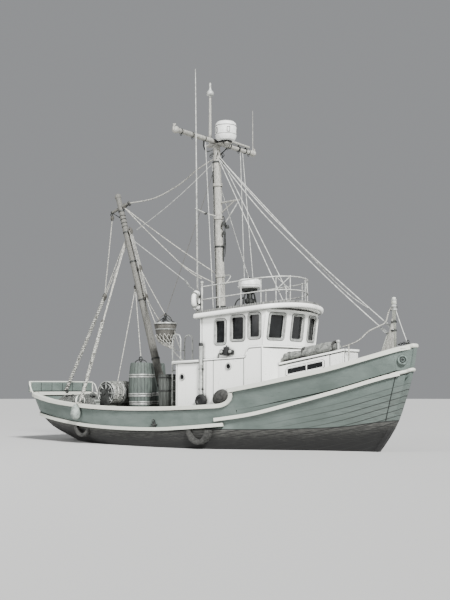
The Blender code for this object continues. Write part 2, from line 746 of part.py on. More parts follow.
def make_deckhouse():
    inner = HOUSE_HALF - WALL
    foot = foot_line(inner, [HOUSE_AFT, 0.3, 1.0, 1.7, BREAK_X - 0.066, BREAK_X - 0.0645,
                             2.55, HOUSE_FRONT - WALL - PLANK_GAP])
    under = 0.055 + PLANK_GAP
    top = [(HOUSE_FRONT - WALL - PLANK_GAP, trim_z(HOUSE_FRONT - WALL)), (2.42, trim_z(2.42)),
           (2.24, trim_z(2.24)), (WHEEL_AFT, trim_z(WHEEL_AFT)),
           (WHEEL_AFT, trim_z(WHEEL_AFT) - under), (HOUSE_AFT, trim_z(HOUSE_AFT) - under)]
    holes = [circle(-0.14, 2.12, 0.085, 12), circle(1.66, 2.42, 0.085, 12)]
    for side, name in ((-1, "deckhouse_side_starboard"), (1, "deckhouse_side_port")):
        wall = panel(name, [foot + top] + holes, WALL, "white paint",
                     upright_along_x(side * (HOUSE_HALF - WALL / 2)))
        fitted(wall, ["main_deck", "foredeck", "hull"], "white paint")
    y = inner - PLANK_GAP
    foot_z = deck_z(HOUSE_AFT, inner) - 0.01
    head = trim_z(HOUSE_AFT) - under
    wall = [(-y, foot_z), (y, foot_z), (y, head), (-y, head)]
    door = [(0.2, foot_z + 0.16), (0.86, foot_z + 0.16), (0.86, 2.3), (0.2, 2.3)]
    wall = panel("deckhouse_aft_wall", [wall, door], WALL, "white paint",
                 upright_across(HOUSE_AFT + WALL / 2))
    x, y = DOOR_HINGE.x, DOOR_HINGE.y
    seats = [box("hinge seat", (x - 0.02, y - 0.025, z), (HOUSE_AFT + 0.02, y + 0.025, z + 0.03),
                 None) for z in (DOOR_FOOT - PLANK_GAP - 0.03, DOOR_HEAD + PLANK_GAP)]
    fitted(join(wall, seats, "white paint"), ["main_deck"], "white paint")
    edge = HOUSE_HALF + 0.04
    prism("deckhouse_roof", [(-0.54, -edge), (WHEEL_AFT - PLANK_GAP, -edge),
                             (WHEEL_AFT - PLANK_GAP, edge), (-0.54, edge)],
          lambda x, y: trim_z(x) - 0.055, lambda x, y: trim_z(x), "white paint")


def front_outline(half, ahead=0.0):
    """The outer line of the three-sided front in plan."""
    outer = [(HOUSE_FRONT, -half), (HOUSE_FRONT + FRONT_BULGE, -FRONT_KNEE),
             (HOUSE_FRONT + FRONT_BULGE, FRONT_KNEE), (HOUSE_FRONT, half)]
    return [(x + ahead, y) for x, y in outer]


def raked_front(name, half, low, high, behind, thick, finish):
    """A three-sided wall between two heights; above the knuckle it leans forward."""
    outer = front_outline(half, ahead=-behind)
    plan = outer + [(x - thick, y) for x, y in reversed(outer)]
    rings = []
    for level in (low, high):
        rise = 0.062 if level > 4 else 0.0
        ring = []
        for x, y in plan:
            z, lean = level, 0.0
            for _ in range(3):
                lean = FRONT_RAKE * max(0.0, z - KNUCKLE_Z) / 1.07
                z = level + rise * (x + lean - 2.8)
            ring.append((x + lean, y, z))
        rings.append(ring)
    return loft(name, rings, finish)


def make_fronts():
    foot = deck_z(HOUSE_FRONT - WALL, HOUSE_HALF) - 0.01
    wall = raked_front("deckhouse_front", HOUSE_HALF, foot, KNUCKLE_Z, 0.0, WALL,
                       "white paint")
    fitted(wall, ["foredeck"], "white paint")
    half = HOUSE_HALF - 0.04
    top = roof_under(2.8) - 0.0005
    wall = raked_front("wheelhouse_front", half, KNUCKLE_Z + PLANK_GAP, top, 0.0, WALL,
                       "white paint")
    cutters = []
    for y in (-0.93, 0.0, 0.93):
        width = 0.29
        hole = rounded_rectangle(y - width, 3.24, y + width, 3.92, WINDOW_RADIUS)
        cutters.append(panel("front window", [hole], 0.8, None, upright_across(3.05)))
    cut_with(wall, cutters, "white paint")
    raked_front("glazing_front", half - WALL - 0.012, 3.2, 3.97, WALL + SEAT_GAP, 0.008,
                "glass")


def make_wheelhouse():
    outer = HOUSE_HALF - 0.04

    def lean(z):
        return FRONT_RAKE * (z - KNUCKLE_Z) / 1.07

    fore_x = HOUSE_FRONT - WALL - 0.001
    top_x = fore_x + lean(roof_under(2.9))
    gap = 0.0006
    outline = [(WHEEL_AFT, trim_z(WHEEL_AFT) + PLANK_GAP), (2.24, trim_z(2.24) + gap),
               (2.42, trim_z(2.42) + gap), (fore_x, trim_z(fore_x) + gap),
               (top_x, roof_under(top_x) - gap), (WHEEL_AFT, roof_under(WHEEL_AFT) - gap)]
    windows = [rounded_rectangle(*w, WINDOW_RADIUS) for w in SIDE_WINDOWS]
    for side, name in ((-1, "starboard"), (1, "port")):
        panel("wheelhouse_side_" + name, [outline] + windows, WALL, "white paint",
              upright_along_x(side * (outer - WALL / 2)))
        glass = [(1.0, 3.03), (2.82, 3.17), (2.86, 3.96), (1.0, 3.88)]
        panel("glazing_" + name, [glass], 0.008, "glass",
              upright_along_x(side * (outer - WALL - 0.0045)))
    inside = outer - WALL - PLANK_GAP
    low = FLOOR_TOP + PLANK_GAP
    wall = [(-inside, low), (inside, low), (inside, roof_under(WHEEL_AFT) - gap),
            (-inside, roof_under(WHEEL_AFT) - gap)]
    panes = [rounded_rectangle(y - 0.25, 3.05, y + 0.25, 3.62, WINDOW_RADIUS)
             for y in (-0.85, 0.85)]
    panel("wheelhouse_aft_wall", [wall] + panes, WALL - 0.001, "white paint",
          upright_across(WHEEL_AFT + WALL / 2))
    y = HOUSE_HALF - WALL - PLANK_GAP
    floor = [(WHEEL_AFT - 0.2, -y), (2.8, -y), (3.0, -FRONT_KNEE), (3.0, FRONT_KNEE),
             (2.8, y), (WHEEL_AFT - 0.2, y)]
    prism("wheelhouse_floor", floor, lambda x, y: FLOOR_TOP - 0.05, lambda x, y: FLOOR_TOP,
          "deck timber")


def roof_half(x):
    if x <= 2.9:
        return 1.55
    return 1.55 * math.sqrt(max(0.0, 1 - ((x - 2.9) / 0.68) ** 2))


def roof_top(x, y):
    return 4.03 + 0.062 * (x - 0.33) + 0.07 * (1 - (y / 1.55) ** 2)


def make_wheelhouse_roof():
    rings = []
    for x in [0.33, 0.9, 1.6, 2.3, 2.9, 3.08, 3.24, 3.37, 3.47, 3.53, 3.56]:
        half = roof_half(x)
        shares = (1.0, 0.7, 0.35, 0.0, -0.35, -0.7, -1.0)
        top = [(x, half * s, roof_top(x, half * s)) for s in shares]
        under = [(x, half * s, roof_under(x)) for s in reversed(shares)]
        rings.append(top + under)
    roof = loft("wheelhouse_roof", rings, "white paint")
    arc = [(0.28 + 0.2 * math.sin(math.radians(a)), -0.2 * math.cos(math.radians(a)))
           for a in range(0, 181, 18)]
    notch = prism("mast notch", [(0.1, -0.2)] + arc + [(0.1, 0.2)], lambda x, y: 3.6,
                  lambda x, y: 4.4, None)
    cut_with(roof, [notch], "white paint")


def trunk_half(x):
    return 0.8 + (x - 3.05) * (0.4 - 0.8) / 1.95


def trunk_top(x):
    return 2.44 + (x - 3.0) * 0.196


def make_trunk():
    aft = HOUSE_FRONT + FRONT_BULGE + 0.001
    corner = aft - FRONT_BULGE * (0.8 - FRONT_KNEE) / (HOUSE_HALF - FRONT_KNEE) + 0.0006

    def outline(inset):
        y, end = trunk_half(3.05) - inset, trunk_half(5.0) - inset
        return [(corner + inset, -y), (aft + inset, -FRONT_KNEE + inset * 0.2),
                (aft + inset, FRONT_KNEE - inset * 0.2), (corner + inset, y),
                (5.0 - inset, end), (5.0 - inset, -end)]

    def foot(x, y):
        return deck_z(x, 0.8) - 0.01

    walls = prism("trunk_walls", outline(0.0), foot, lambda x, y: trunk_top(x),
                  "white paint")
    room = prism("trunk room", outline(0.05), lambda x, y: 1.0, lambda x, y: 3.5, None)
    cutters = [room]
    for x in (3.55, 4.2):
        z = trunk_top(x) - 0.27
        hole = rounded_rectangle(x - 0.2, z - 0.1, x + 0.2, z + 0.1, 0.04, 2)
        cutters.append(panel("trunk window", [hole], 3.0, None, upright_along_x(0)))
    fitted(cut_with(walls, cutters, "white paint"), ["foredeck"], "white paint")

    def eaves(x, y):
        return trunk_top(x) + PLANK_GAP

    points = outline(-0.035)
    points = [(max(x, corner + 0.0004), y) for x, y in points]
    points[0], points[3] = outline(0.0)[0], outline(0.0)[3]
    points[1], points[2] = outline(0.0)[1], outline(0.0)[2]
    prism("trunk_roof", points, eaves, lambda x, y: eaves(x, y) + 0.055, "white paint")


def make_glass_and_houses():
    make_deckhouse()
    make_fronts()
    make_wheelhouse()
    make_wheelhouse_roof()
    make_trunk()


# Rig

def mast_x(z):
    return MAST_FOOT.x + (MAST_HEAD.x - MAST_FOOT.x) * (z - MAST_FOOT.z) / (
        MAST_HEAD.z - MAST_FOOT.z)


def make_mast():
    mast = cone("mast", MAST_FOOT, MAST_HEAD, MAST_FOOT_RADIUS, MAST_HEAD_RADIUS,
                "pole timber", 16)
    collar = cone("collar", MAST_FOOT, MAST_FOOT + Vector((0, 0, 0.08)), 0.21, 0.2, None, 16)
    top = MAST_HEAD.z
    plate = box("mast plate", (-0.32, -0.13, top - 0.05), (0.6, 0.13, top), None)
    pole = cone("topmast", (-0.2, 0, top - 0.03), (-0.2, 0, 11.73), 0.05, 0.03, None, 12)
    lamp = cone("lamp", (-0.2, 0, 11.32), (-0.2, 0, 11.46), 0.09, 0.06, None, 12)
    arm = tube("arm", [(mast_x(7.7), 0, 7.7), (0.98, 0, 7.72)], 0.03, None)
    strut = tube("strut", [(mast_x(7.3), 0, 7.3), (0.8, 0, 7.71)], 0.022, None)
    bands = [cone("band", (mast_x(z), 0, z - 0.05), (mast_x(z + 0.05), 0, z + 0.05),
                  0.155, 0.155, None, 16) for z in (5.34, 7.22, 8.3)]
    mast = join(mast, [collar, plate, pole, lamp, arm, strut] + bands, "pole timber")
    fitted(mast, ["deckhouse_roof"], "pole timber")
    z = YARD_Z
    yard = cone("yard", (0.05, -YARD_HALF, z), (0.05, YARD_HALF, z), 0.08, 0.08,
                "pole timber", 14)
    knobs = [ball("knob", (0.05, y, z), 0.115, None) for y in (-YARD_HALF, YARD_HALF)]
    whip = cone("whip", (0.05, YARD_HALF, z), (0.05, YARD_HALF, 11.2), 0.014, 0.008, None, 8)
    fitted(join(yard, knobs + [whip], "pole timber"), ["mast"], "pole timber")
    turned("radome", [(0, 10.36), (0.2, 10.34), (0.31, 10.25), (0.345, 10.05), (0.33, 9.82),
                      (0.24, 9.74), (0.1, 9.72), (0.1, top + 0.0005), (0, top + 0.0005)],
           (0.33 + 0.12, 0, 0), "white plastic")


def make_roof_gear():
    base = roof_top(1.5, -0.15) - 0.012
    dome = turned("radar_dome", [(0, 5.16), (0.2, 5.13), (0.34, 5.02), (0.375, 4.87), (0.35, 4.77),
                          (0.16, 4.73), (0.13, 4.7), (0.13, base + 0.05), (0.2, base + 0.03),
                          (0.2, base), (0, base)], (1.5, -0.15, 0), "white plastic")
    fitted(dome, ["wheelhouse_roof"], "white plastic")
    path = [(0.45, -1.2), (1.4, -1.2), (2.4, -1.18), (2.8, -1.02), (3.08, -0.72),
            (3.2, -0.35), (3.24, 0.0)]
    path = path + [(x, -y) for x, y in reversed(path[:-1])]
    rails = []
    for height in (0.42, 0.82):
        points = [(x, y, roof_top(x, y) + height) for x, y in path]
        rails.append(tube("rail", points, 0.02, None, 1))
    posts = []
    for x, y in path:
        foot = roof_top(x, y)
        thick = 0.035 if x < 0.5 else 0.018
        top = foot + (0.9 if x < 0.5 else 0.82)
        posts.append(cone("post", (x, y, foot - 0.01), (x, y, top), thick, thick, None, 6))
    rails = join(rails[0], rails[1:] + posts, "galvanised steel")
    rails.name = "roof_rail"
    fitted(rails, ["wheelhouse_roof"], "galvanised steel")
    foot = trim_z(HOUSE_AFT) - 0.02
    whip = cone("whip_antenna", (0.42, -1.36, roof_top(0.42, 1.36) - 0.01),
                (0.3, -1.36, 11.75), 0.03, 0.012, "white plastic", 8)
    fitted(whip, ["wheelhouse_roof"], "white plastic")
    uprights = []
    for y in (-1.26, -0.68):
        x = HOUSE_AFT - 0.3
        points = [(x, y, deck_z(x, y) - 0.02), (x, y, 3.3), (x + 0.05, y, 3.42),
                  (x + 0.16, y, 3.46), (x + 0.28, y, 3.42), (x + 0.33, y, 3.3),
                  (x + 0.33, y, foot)]
        uprights.append(tube("upright", points, 0.022, None, 1))
    rungs = []
    z = 1.05
    while z < 3.1:
        rungs.append(cone("rung", (HOUSE_AFT - 0.3, -1.26, z), (HOUSE_AFT - 0.3, -0.68, z),
                          0.016, 0.016, None, 6))
        z += 0.32
    ladder = join(uprights[0], uprights[1:] + rungs, "galvanised steel")
    ladder.name = "ladder"
    fitted(ladder, ["main_deck", "deckhouse_roof"], "galvanised steel")
    pipe = cone("vent_pipe", (0.64, -1.475, 1.48), (0.64, -1.475, 3.15), 0.045, 0.045,
                "white paint", 12)
    clips = [box("clip", (0.6, -1.48, z), (0.68, -1.41, z + 0.05), None) for z in (1.88, 2.45)]
    fitted(join(pipe, clips, "white paint"), ["deckhouse_side_starboard"], "white paint")


def make_bow_gear():
    x = 6.42
    foot = deck_z(x, 0.0) - 0.08
    post = cone("bow_post", (x, 0, foot), (x, 0, 4.2), 0.06, 0.05, "galvanised steel", 12)
    light = cone("bow light", (x, 0, 4.12), (x, 0, 4.31), 0.075, 0.05, None, 12)
    knee = tube("knee", [(5.98, 0, deck_z(5.98, 0) - 0.01), (6.05, 0, 2.85), (6.18, 0, 3.2),
                         (x, 0, 3.54)], 0.03, None, 1)
    fitted(join(post, [light, knee], "galvanised steel"), ["hull", "foredeck"],
           "galvanised steel")
    foot = deck_z(5.5, 0.0)
    body = box("windlass", (5.36, -0.2, foot - 0.03), (5.6, 0.2, foot + 0.4), "dark steel")
    drum = cone("drum", (5.48, -0.42, foot + 0.32), (5.48, 0.42, foot + 0.32), 0.13, 0.13,
                None, 16)
    fitted(join(body, [drum], "dark steel"), ["foredeck"], "dark steel")
    stay = cone("forestay", (x, 0, 3.6), (mast_x(9.1), 0, 9.15), 0.012, 0.012,
                "galvanised steel", 6)
    fitted(stay, ["bow_post", "mast"], "galvanised steel")


def make_stern_board():
    x = hull_x(0, 1.7)
    y = 1.52
    foot = along(AFT_CAP_TOP, -7.05) - 0.02
    outline = [(-y, foot), (y, foot), (y, foot + 0.3), (y - 0.15, foot + 0.36),
               (-y + 0.15, foot + 0.36), (-y, foot + 0.3)]
    board = panel("stern_board", [outline], 0.06, "hull paint", upright_across(x + 0.02))
    fitted(board, ["cap_rail_aft"], "hull paint")


# Deck gear

def make_barrel(name, x, y, belly, head, top):
    low = PLATFORM_TOP + PLANK_GAP
    profile = [(0, top - 0.04), (head - 0.03, top - 0.04), (head - 0.03, top), (head, top)]
    for i in range(1, 6):
        s = i / 6
        bulge = (belly - head) * math.sin(math.pi * s)
        profile.append((head + bulge, top + (low - top) * s))
    profile += [(head, low), (0, low)]
    turned(name, profile, (x, y, 0), "cask wood", 18)


def make_deck_gear():
    def deck_foot(x, y):
        return deck_z(x, 1.0) - 0.01

    outline = [(-1.72, -1.2), (-1.72, 1.1), (-3.5, 1.1), (-3.5, 0.15), (-2.95, 0.15),
               (-2.95, -1.2)]
    platform = prism("platform", outline, deck_foot, lambda x, y: PLATFORM_TOP,
                     "grey timber")
    fitted(platform, ["main_deck"], "grey timber")
    make_barrel("barrel_large", -2.5, -0.75, 0.39, 0.33, 2.61)
    make_barrel("barrel_small", -3.07, 0.6, 0.37, 0.31, 2.63)
    low = deck_z(-1.2, 0.9) - 0.01
    tub = loft("tub", [[(x, y, z) for x, y in circle(-1.2, -0.9, r, 20)]
                       for r, z in ((0.26, low), (0.3, 2.2))], "grey timber")
    well = loft("tub well", [[(x, y, z) for x, y in circle(-1.2, -0.9, r, 20)]
                             for r, z in ((0.225, low + 0.06), (0.268, 2.25))], None)
    fitted(cut_with(tub, [well], "grey timber"), ["main_deck"], "grey timber")
    x0, x1, y1 = -4.85, -3.88, 0.46
    outer = [(x0, -y1), (x1, -y1), (x1, y1), (x0, y1)]
    t = 0.06
    inner = [(x0 + t, -y1 + t), (x1 - t, -y1 + t), (x1 - t, y1 - t), (x0 + t, y1 - t)]
    coaming = prism("hatch_coaming", outer, deck_foot, lambda x, y: 1.33, "grey timber")
    room = prism("hatch room", inner, lambda x, y: 0.3, lambda x, y: 2.0, None)
    fitted(cut_with(coaming, [room], "grey timber"), ["main_deck"], "grey timber")
    lid = box("hatch_lid", (0.0, -0.5, -0.028), (1.03, 0.5, 0.028), "grey timber")
    bar = box("hinge bar", (-0.02, -0.3, -0.018), (0.05, 0.3, 0.018), None)
    lid = join(lid, [bar], "grey timber")
    lid.location = (x0 - 0.03, 0, 1.33 + PLANK_GAP + 0.028)
    rim, centre = 0.37, Vector((-1.43, -0.75, 0))
    rings = [(0.2, 3.22), (0.27, 3.4), (0.33, 3.65), (rim, 3.85)]
    outside = loft("basket", [[(centre.x + x, centre.y + y, z) for x, y in circle(0, 0, r, 16)]
                              for r, z in rings], "grey timber")
    inside = loft("basket room", [[(centre.x + x, centre.y + y, z) for x, y in
                                   circle(0, 0, r, 16)]
                                  for r, z in ((0.17, 3.26), (0.24, 3.42), (0.3, 3.66),
                                               (rim - 0.028, 3.9))], None)
    basket = cut_with(outside, [inside], "grey timber")
    arch = []
    for i in range(9):
        a = math.pi * i / 8
        arch.append((centre.x, centre.y - (rim - 0.015) * math.cos(a), 3.82 + 0.32 * math.sin(a)))
    bail = tube("bail", arch, 0.016, None, 0)
    wire = cone("wire", (centre.x, centre.y, 4.12), (mast_x(9.1), 0, 9.1), 0.01, 0.01, None,
                6)
    fitted(join(basket, [bail, wire], "grey timber"), ["mast"], "grey timber")


WINCH = Vector((-3.4, 0, 1.62))
DRUM_RADIUS = 0.38


def make_winch():
    low = deck_z(WINCH.x, 0.9) - 0.01
    base = box("winch_frame", (WINCH.x - 0.38, -1.5, low), (WINCH.x + 0.38, -0.28, low + 0.1),
               "dark steel")
    cheeks = []
    for y in (-1.48, -0.34):
        outline = [(WINCH.x - 0.3, low + 0.08), (WINCH.x + 0.3, low + 0.08),
                   (WINCH.x + 0.1, WINCH.z + 0.14), (WINCH.x - 0.1, WINCH.z + 0.14)]
        hole = circle(WINCH.x, WINCH.z, 0.051, 24)
        cheeks.append(panel("cheek", [outline, hole], 0.05, None, upright_along_x(y)))
    fitted(join(base, cheeks, "dark steel"), ["main_deck"], "dark steel")
    drum = cone("winch_drum", (0, -1.56, 0), (0, -0.26, 0), 0.05, 0.05, "dark steel", 24)
    rounds = []
    for y in (-1.43, -0.93, -0.87, -0.41):
        rounds.append(cone("flange", (0, y, 0), (0, y + 0.025, 0), DRUM_RADIUS, DRUM_RADIUS,
                           None, 24))
    rounds.append(cone("barrel", (0, -1.42, 0), (0, -0.395, 0), 0.29, 0.29, None, 20))
    drum = join(drum, rounds, "dark steel")
    drum.location = WINCH


def make_boom():
    foot = PLATFORM_TOP + PLANK_GAP
    x = BOOM_PIVOT.x
    step = box("boom_step", (x - 0.22, -0.27, foot), (x + 0.22, 0.27, foot + 0.06),
               "dark steel")
    cheeks = []
    for y in (-0.215, 0.215):
        outline = [(x - 0.15, foot + 0.04), (x + 0.15, foot + 0.04),
                   (x + 0.07, BOOM_PIVOT.z + 0.09), (x - 0.07, BOOM_PIVOT.z + 0.09)]
        hole = circle(x, BOOM_PIVOT.z, 0.041, 24)
        cheeks.append(panel("cheek", [outline, hole], 0.04, None, upright_along_x(y)))
    join(step, cheeks, "dark steel")
    along_boom = (BOOM_HEAD - BOOM_PIVOT).normalized()
    length = (BOOM_HEAD - BOOM_PIVOT).length
    boom = cone("boom", along_boom * -0.08, along_boom * length, 0.14, 0.09, "pole timber",
                16)
    pin = cone("pin", (0, -0.25, 0), (0, 0.25, 0), 0.04, 0.04, None, 24)
    square = along_boom.cross(Vector((0, 1, 0)))
    at = along_boom * (length - 0.42)
    bar = cone("crossbar", at - square * 0.45, at + square * 0.45, 0.05, 0.05, None, 12)
    knob = ball("boom knob", along_boom * length, 0.12, None)
    bands = [cone("band", along_boom * s, along_boom * (s + 0.1), r, r, None, 16)
             for s, r in ((0.9, 0.148), (3.6, 0.13), (6.1, 0.112))]
    boom = join(boom, [pin, bar, knob] + bands, "pole timber")
    boom.location = BOOM_PIVOT


# Door, steering and drive

def make_door():
    door = box("deckhouse_door", (-0.02, -0.74, DOOR_FOOT), (0.02, 0.0, DOOR_HEAD),
               "white paint")
    handle = box("handle", (-0.06, -0.68, 1.52), (0.0, -0.64, 1.66), None)
    door = join(door, [handle], "white paint")
    door.location = DOOR_HINGE


def make_steering():
    z = SHAFT_Z
    propeller = cone("propeller", (-0.11, 0, 0), (1.7, 0, 0), 0.0455, 0.0455, "bronze", 24)
    hub = cone("hub", (-0.17, 0, 0), (0.1, 0, 0), 0.06, 0.1, None, 16)
    blades = []
    for i in range(4):
        blade = box("blade", (-0.012, -0.14, 0.05), (0.012, 0.14, 0.48), None)
        work = bmesh.new()
        work.from_mesh(blade.data)
        bmesh.ops.subdivide_edges(work, edges=work.edges, cuts=2, use_grid_fill=True)
        for v in work.verts:
            share = (v.co.z - 0.05) / 0.43
            v.co.y *= 0.55 + 1.2 * share * (1.35 - share)
            twist = math.radians(62 - 34 * share)
            v.co = Matrix.Rotation(twist, 3, "Z") @ v.co
        bmesh.ops.rotate(work, verts=work.verts, cent=(0, 0, 0),
                         matrix=Matrix.Rotation(math.pi / 2 * i, 3, "X"))
        work.to_mesh(blade.data)
        work.free()
        blades.append(blade)
    propeller = join(propeller, [hub] + blades, "bronze")
    propeller.location = (PROPELLER_X, 0, z)
    blade = [(-0.03, -1.58), (-0.6, -1.5), (-0.66, -1.0), (-0.62, -0.5), (-0.4, -0.42),
             (-0.03, -0.42)]
    rudder = panel("rudder", [blade], 0.07, "bottom paint", upright_along_x(0))
    stock = cone("stock", (0, 0, -1.6095), (0, 0, 0.2), 0.05, 0.05, None, 24)
    rudder = join(rudder, [stock], "bottom paint")
    rudder.location = (RUDDER_X, 0, 0)
    box("helm_stand", (2.3, -0.16, FLOOR_TOP + PLANK_GAP), (2.6, 0.16, FLOOR_TOP + 1.15),
        "grey timber")
    wheel = tube("helm_wheel", [(0, 0.34 * math.cos(math.radians(a)),
                                 0.34 * math.sin(math.radians(a))) for a in range(7, 367, 24)],
                 0.02, "grey timber", 0, True)
    spokes = [cone("spoke", (0, 0, 0), (0, 0.42 * math.cos(math.radians(a)),
                                        0.42 * math.sin(math.radians(a))), 0.016, 0.016, None,
                   6) for a in range(0, 360, 60)]
    boss = cone("boss", (-0.04, 0, 0), (0.0995, 0, 0), 0.06, 0.06, None, 14)
    wheel = join(wheel, [boss] + spokes, "grey timber")
    wheel.location = (2.2, 0, FLOOR_TOP + 0.9)
    box("engine", (0.05, -0.34, -0.7997), (1.65, 0.34, 0.25), "dark steel")


def make_hull_and_wells():
    hull = make_hull()
    cutters = [
        box("aperture", (-6.2, -1.2, -1.9), (-4.84, 1.2, -0.42), None),
        cone("stock bore", (RUDDER_X, 0, -0.6), (RUDDER_X, 0, 0.25), 0.051, 0.051, None, 24),
        box("hold well", (-4.79, -0.4, -0.5), (-3.94, 0.4, 2.0), None),
        box("engine well", (-0.05, -0.44, -0.8), (1.75, 0.44, 2.0), None),
    ]
    cut_with(hull, cutters, "hull paint")


def make_decks():
    deck = make_deck("main_deck", -6.75, BREAK_X - 0.07, 22, lambda x: 1.0)
    hole = box("hold opening", (-4.79, -0.4, 0.2), (-3.94, 0.4, 2.0), None)
    deck = cut_with(deck, [hole], "deck timber")
    fitted(deck, ["hull", "bulwark_aft"], "deck timber")
    deck = make_deck("foredeck", BREAK_X + 0.015, 6.15, 12,
                     lambda x: 1.0 - 0.12 * max(0, x - 3))
    fitted(deck, ["hull", "bulwark_aft", "bulwark_fore", "stem"], "deck timber")


clear_scene()
TRAWLER = new_collection("trawler")
make_hull_and_wells()
make_aft_cap()
make_fore_cap()
make_backbone()
make_aft_bulwark()
make_fore_bulwark()
make_strakes()
make_decks()
make_stern_board()
make_glass_and_houses()
make_mast()
make_roof_gear()
make_bow_gear()
make_deck_gear()
make_winch()
make_boom()
make_door()
make_steering()
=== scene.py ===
import json
import math

import bmesh
import bpy
from mathutils import Matrix, Vector
from mathutils.bvhtree import BVHTree

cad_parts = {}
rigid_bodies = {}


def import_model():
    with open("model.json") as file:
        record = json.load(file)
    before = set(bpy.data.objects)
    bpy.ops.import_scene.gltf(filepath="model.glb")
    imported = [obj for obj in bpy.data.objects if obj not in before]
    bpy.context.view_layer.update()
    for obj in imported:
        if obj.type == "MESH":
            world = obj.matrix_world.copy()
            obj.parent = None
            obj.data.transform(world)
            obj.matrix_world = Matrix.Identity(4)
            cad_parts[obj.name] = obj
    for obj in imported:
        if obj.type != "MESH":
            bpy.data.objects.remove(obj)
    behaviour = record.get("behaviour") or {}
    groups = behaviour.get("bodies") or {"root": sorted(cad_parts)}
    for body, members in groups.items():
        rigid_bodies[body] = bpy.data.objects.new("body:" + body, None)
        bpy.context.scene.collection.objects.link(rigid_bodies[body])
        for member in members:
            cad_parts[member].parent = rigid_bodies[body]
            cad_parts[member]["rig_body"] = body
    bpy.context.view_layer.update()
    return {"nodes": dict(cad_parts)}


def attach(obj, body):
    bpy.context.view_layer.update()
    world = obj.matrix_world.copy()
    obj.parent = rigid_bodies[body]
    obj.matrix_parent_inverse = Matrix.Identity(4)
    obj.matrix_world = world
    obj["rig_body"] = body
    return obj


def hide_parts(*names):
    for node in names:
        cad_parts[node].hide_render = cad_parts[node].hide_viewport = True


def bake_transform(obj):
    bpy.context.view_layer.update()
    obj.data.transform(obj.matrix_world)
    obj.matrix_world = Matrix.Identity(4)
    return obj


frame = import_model()
nodes = frame["nodes"]
print("frame loaded:", len(nodes), "solids")


def linear(r, g, b):
    # screen colour 0-255 to the shader's linear value
    def channel(v):
        v = v / 255
        return v / 12.92 if v <= 0.04045 else ((v + 0.055) / 1.055) ** 2.4
    return (channel(r), channel(g), channel(b), 1.0)


class Nodes:
    # short way to lay out a node tree
    def __init__(self, name):
        self.material = bpy.data.materials.new(name)
        self.material.use_nodes = True
        self.tree = self.material.node_tree
        self.shader = self.tree.nodes["Principled BSDF"]
        self.coords = self.tree.nodes.new("ShaderNodeTexCoord").outputs["Object"]

    def add(self, kind, **settings):
        node = self.tree.nodes.new(kind)
        for key, value in settings.items():
            setattr(node, key, value)
        return node

    def link(self, source, target):
        self.tree.links.new(source, target)

    def mapped(self, scale=(1, 1, 1), location=(0, 0, 0), rotation=(0, 0, 0)):
        node = self.add("ShaderNodeMapping")
        node.inputs["Scale"].default_value = scale
        node.inputs["Location"].default_value = location
        node.inputs["Rotation"].default_value = rotation
        self.link(self.coords, node.inputs["Vector"])
        return node.outputs["Vector"]

    def noise(self, vector, scale, detail=4, rough=0.6, distort=0.0):
        node = self.add("ShaderNodeTexNoise")
        node.inputs["Scale"].default_value = scale
        node.inputs["Detail"].default_value = detail
        node.inputs["Roughness"].default_value = rough
        node.inputs["Distortion"].default_value = distort
        self.link(vector, node.inputs["Vector"])
        return node.outputs["Fac"]

    def ramp(self, value, stops):
        node = self.add("ShaderNodeValToRGB")
        elements = node.color_ramp.elements
        while len(elements) < len(stops):
            elements.new(0.5)
        for element, (place, colour) in zip(elements, stops):
            element.position = place
            element.color = colour
        self.link(value, node.inputs["Fac"])
        return node.outputs["Color"]

    def level(self, value, low, high):
        # 0 below low, 1 above high
        node = self.add("ShaderNodeMapRange")
        node.inputs["From Min"].default_value = low
        node.inputs["From Max"].default_value = high
        self.link(value, node.inputs["Value"])
        return node.outputs["Result"]

    def calc(self, operation, a, b=None, c=None):
        node = self.add("ShaderNodeMath", operation=operation)
        for place, value in zip(node.inputs, (a, b, c)):
            if value is None:
                continue
            if isinstance(value, (int, float)):
                place.default_value = value
            else:
                self.link(value, place)
        return node.outputs[0]

    def mix(self, factor, a, b, blend="MIX"):
        node = self.add("ShaderNodeMix", data_type="RGBA", blend_type=blend)
        for name, value in ((0, factor), (6, a), (7, b)):
            if isinstance(value, (int, float)):
                node.inputs[name].default_value = value
            elif isinstance(value, tuple):
                node.inputs[name].default_value = value
            else:
                self.link(value, node.inputs[name])
        return node.outputs[2]

    def axes(self):
        node = self.add("ShaderNodeSeparateXYZ")
        self.link(self.coords, node.inputs[0])
        return node.outputs

    def curve(self, value, points):
        # height of a line through (x, y) points
        node = self.add("ShaderNodeFloatCurve")
        line = node.mapping.curves[0]
        low = min(p[0] for p in points)
        high = max(p[0] for p in points)
        node.mapping.use_clip = False
        while len(line.points) < len(points):
            line.points.new(0.5, 0.5)
        for spot, (x, y) in zip(line.points, points):
            spot.location = ((x - low) / (high - low), (y + 2) / 6)
        node.mapping.update()
        self.link(self.level(value, low, high), node.inputs["Value"])
        return self.calc("MULTIPLY_ADD", node.outputs[0], 6.0, -2.0)

    def bump(self, height, strength, distance=0.01):
        node = self.add("ShaderNodeBump")
        node.inputs["Strength"].default_value = strength
        node.inputs["Distance"].default_value = distance
        self.link(height, node.inputs["Height"])
        self.link(node.outputs["Normal"], self.shader.inputs["Normal"])

    def finish(self, colour, rough, metallic=0.0):
        if isinstance(colour, tuple):
            self.shader.inputs["Base Color"].default_value = colour
        else:
            self.link(colour, self.shader.inputs["Base Color"])
        if isinstance(rough, (int, float)):
            self.shader.inputs["Roughness"].default_value = rough
        else:
            self.link(rough, self.shader.inputs["Roughness"])
        self.shader.inputs["Metallic"].default_value = metallic
        return self.material


def paintedCreaseShade(n):
    # painted shade: ambient occlusion mask that darkens the colour in creases and where two pieces
    # meet
    node = n.add("ShaderNodeAmbientOcclusion", samples=4)
    node.inputs["Distance"].default_value = 0.12
    return n.level(node.outputs["AO"], 0.25, 0.8)


